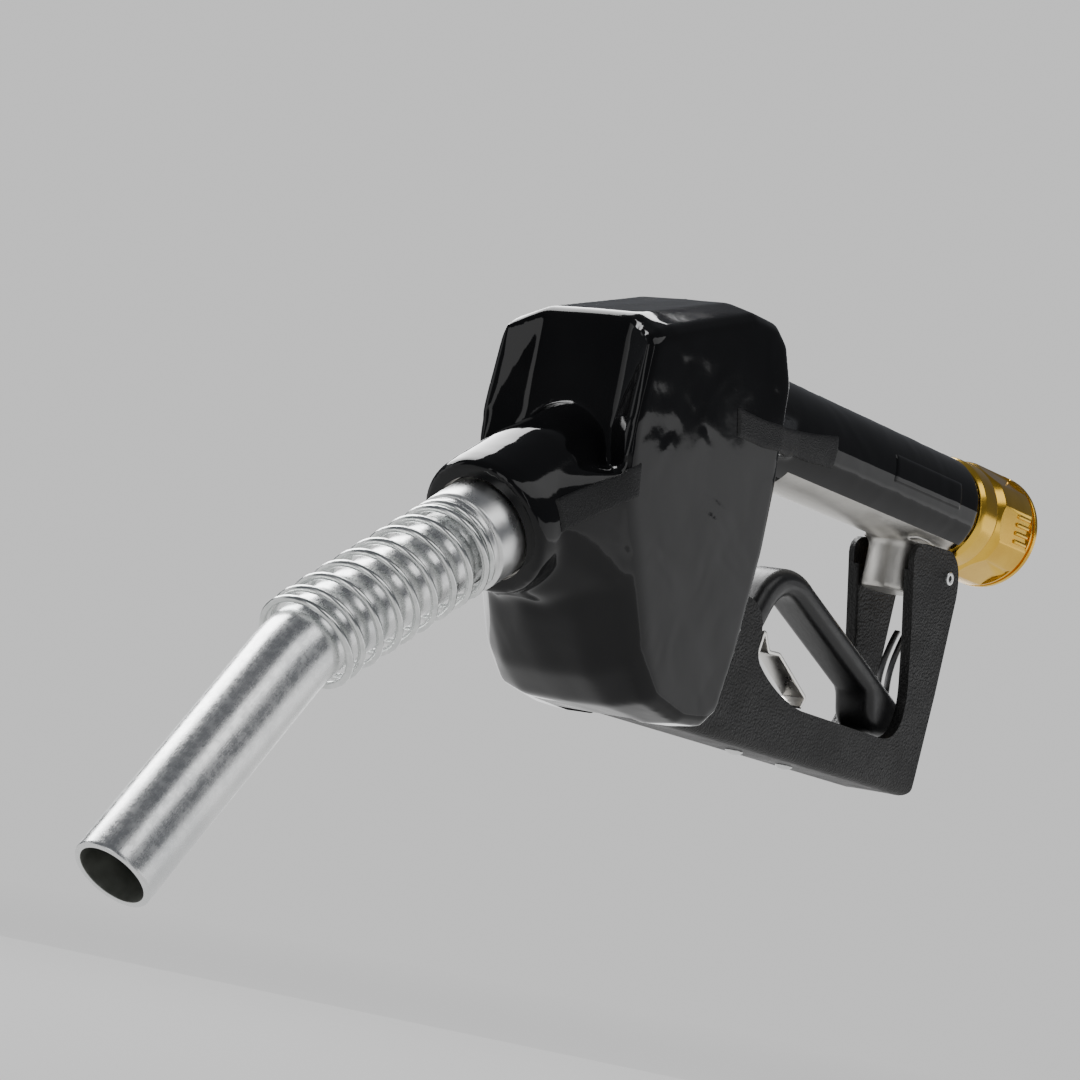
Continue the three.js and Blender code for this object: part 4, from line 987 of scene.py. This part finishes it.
settle(turned("guardRollPin", roundCorners([(1.0, -14.2), (2.4, -14.2), (2.4, 14.2), (1.0, 14.2)], 0.35, 3,
                                           closed=True), (43.4, 0, -24.7), (0, 1, 0), 48),
       "zinc", replaces=["guard_roll_pin"])


def rivet(name, x):
    under, over = -102.9, -98.5
    head = [(0, under - 1.3), (1.1, under - 1.22), (2.1, under - 0.9), (2.8, under - 0.35), (3.0, under),
            (1.8, under), (1.8, over), (3.0, over), (2.8, over + 0.35), (2.1, over + 0.9), (1.1, over + 1.22),
            (0, over + 1.3)]
    return turned(name, head, (x, 0, 0), sides=40)


settle(rivet("rackRivetFront", 134.7), "zinc", replaces=["rack_rivet_front"])
settle(rivet("rackRivetRear", 103.3), "zinc", replaces=["rack_rivet_rear"])


def stripPath(points, radius, steps=6):
    return [(x, 0, z) for x, z in roundCorners(points, radius, steps)]


def buildRack():
    path = stripPath([(97, -99.45), (139, -99.45), (141.6, -97), (139.6, -75), (137.2, -62.4), (132.6, -68.6),
                      (126, -68.2), (105.2, -79.4), (107, -83)], 1.1)
    t, w = 0.65, 4.5
    section = roundCorners([(-w, -t), (w, -t), (w, t), (-w, t)], 0.3, 2, closed=True)
    return smoothFaces(sweptBar("holdOpenRack", path, section), 50)


settle(buildRack(), "nickel", replaces=["hold_open_rack"])
print("guard ready")


lever = {"pivot": (238, 0, -84), "halfWidth": 8.0, "round": 3.7}


def leverOutline():
    top = -76.5
    out = [(46.4, -72.4), (117, -43.4)]
    out += bezier((117, -43.4), (126, -38.6), (139, -38.4), (146, -49), 16)
    out += [(153, -62)] + bezier((153, -62), (157, -71), (163, top), (172, top), 12)
    out += [(238, top)]
    out += [(238 + 7.5 * math.sin(t), -84 + 7.5 * math.cos(t))
            for t in (math.pi * k / 16 for k in range(1, 17))]
    out += [(172, -90)] + bezier((172, -90), (158, -89), (150, -78), (145, -68), 14)
    out += [(139.5, -56.5)] + bezier((139.5, -56.5), (135, -48.6), (129, -48), (122, -50.8), 14)
    out += [(72, -71.2)] + bezier((72, -71.2), (69, -73), (69, -77.5), (67, -80.5), 8)
    out += bezier((67, -80.5), (63, -86), (49, -86), (44.5, -79.5), 12)
    return out + bezier((44.5, -79.5), (43, -76), (43.4, -73.6), (46.4, -72.4), 6)[:-1]


def roundedBar(name, outline, halfWidth, radius):
    curve = bpy.data.curves.new(name, "CURVE")
    curve.dimensions = "2D"
    curve.fill_mode = "BOTH"
    spline = curve.splines.new("POLY")
    spline.points.add(len(outline) - 1)
    for p, (x, z) in zip(spline.points, outline):
        p.co = (x * mm, z * mm, 0, 1)
    spline.use_cyclic_u = True
    curve.extrude = (halfWidth - radius) * mm
    curve.bevel_depth = radius * mm
    curve.bevel_resolution = 6
    curve.offset = -radius * mm
    soft = bpy.data.objects.new(name, curve)
    bpy.context.scene.collection.objects.link(soft)
    graph = bpy.context.evaluated_depsgraph_get()
    mesh = bpy.data.meshes.new_from_object(soft.evaluated_get(graph), depsgraph=graph)
    bpy.data.objects.remove(soft)
    mesh.transform(Matrix.Rotation(math.pi / 2, 4, "X"))
    obj = bpy.data.objects.new(name, mesh)
    bpy.context.scene.collection.objects.link(obj)
    work = bmesh.new()
    work.from_mesh(mesh)
    bmesh.ops.remove_doubles(work, verts=work.verts, dist=1e-6)
    bmesh.ops.recalc_face_normals(work, faces=work.faces)
    work.to_mesh(mesh)
    work.free()
    return obj


def buildLever(v):
    bar = roundedBar("pullLever", leverOutline(), v["halfWidth"], v["round"])
    for tool in (block("fork", (229.5, -5.1, -110), (258, 5.1, -60)),
                 block("fork", (30, -4.5, -110), (58, 4.5, -60)),
                 turned("hole", [(0, -20), (2.3, -20), (2.3, 20), (0, 20)], v["pivot"], (0, 1, 0), 32)):
        carve(bar, tool)
    return smoothFaces(bar, 38)


settle(buildLever(lever), "black_satin", "lever", ["lever"])


def buildClip():
    path = stripPath([(50.4, -75.5), (50.4, -70), (51.2, -63), (50, -56.5), (47.4, -50), (45.4, -46.2),
                      (42.2, -42.2)], 4)
    legs = []
    for y0, y1, last in ((0.7, 2.9, len(path)), (-2.9, -0.7, len(path) - 3)):
        section = roundCorners([(y0, -0.5), (y1, -0.5), (y1, 0.5), (y0, 0.5)], 0.25, 2, closed=True)
        legs.append(sweptBar("clipLeg", path[:last], section))
    eye = turned("eye", roundCorners([(1.7, -4), (3, -4), (3, 4), (1.7, 4)], 0.3, 3, closed=True), (53, 0, -75),
                 (0, 1, 0), 40)
    return smoothFaces(joined("holdOpenClip", [*legs, eye]), 40)


settle(buildClip(), "dark_steel", "clip", ["hold_open_clip"])
print("lever ready")
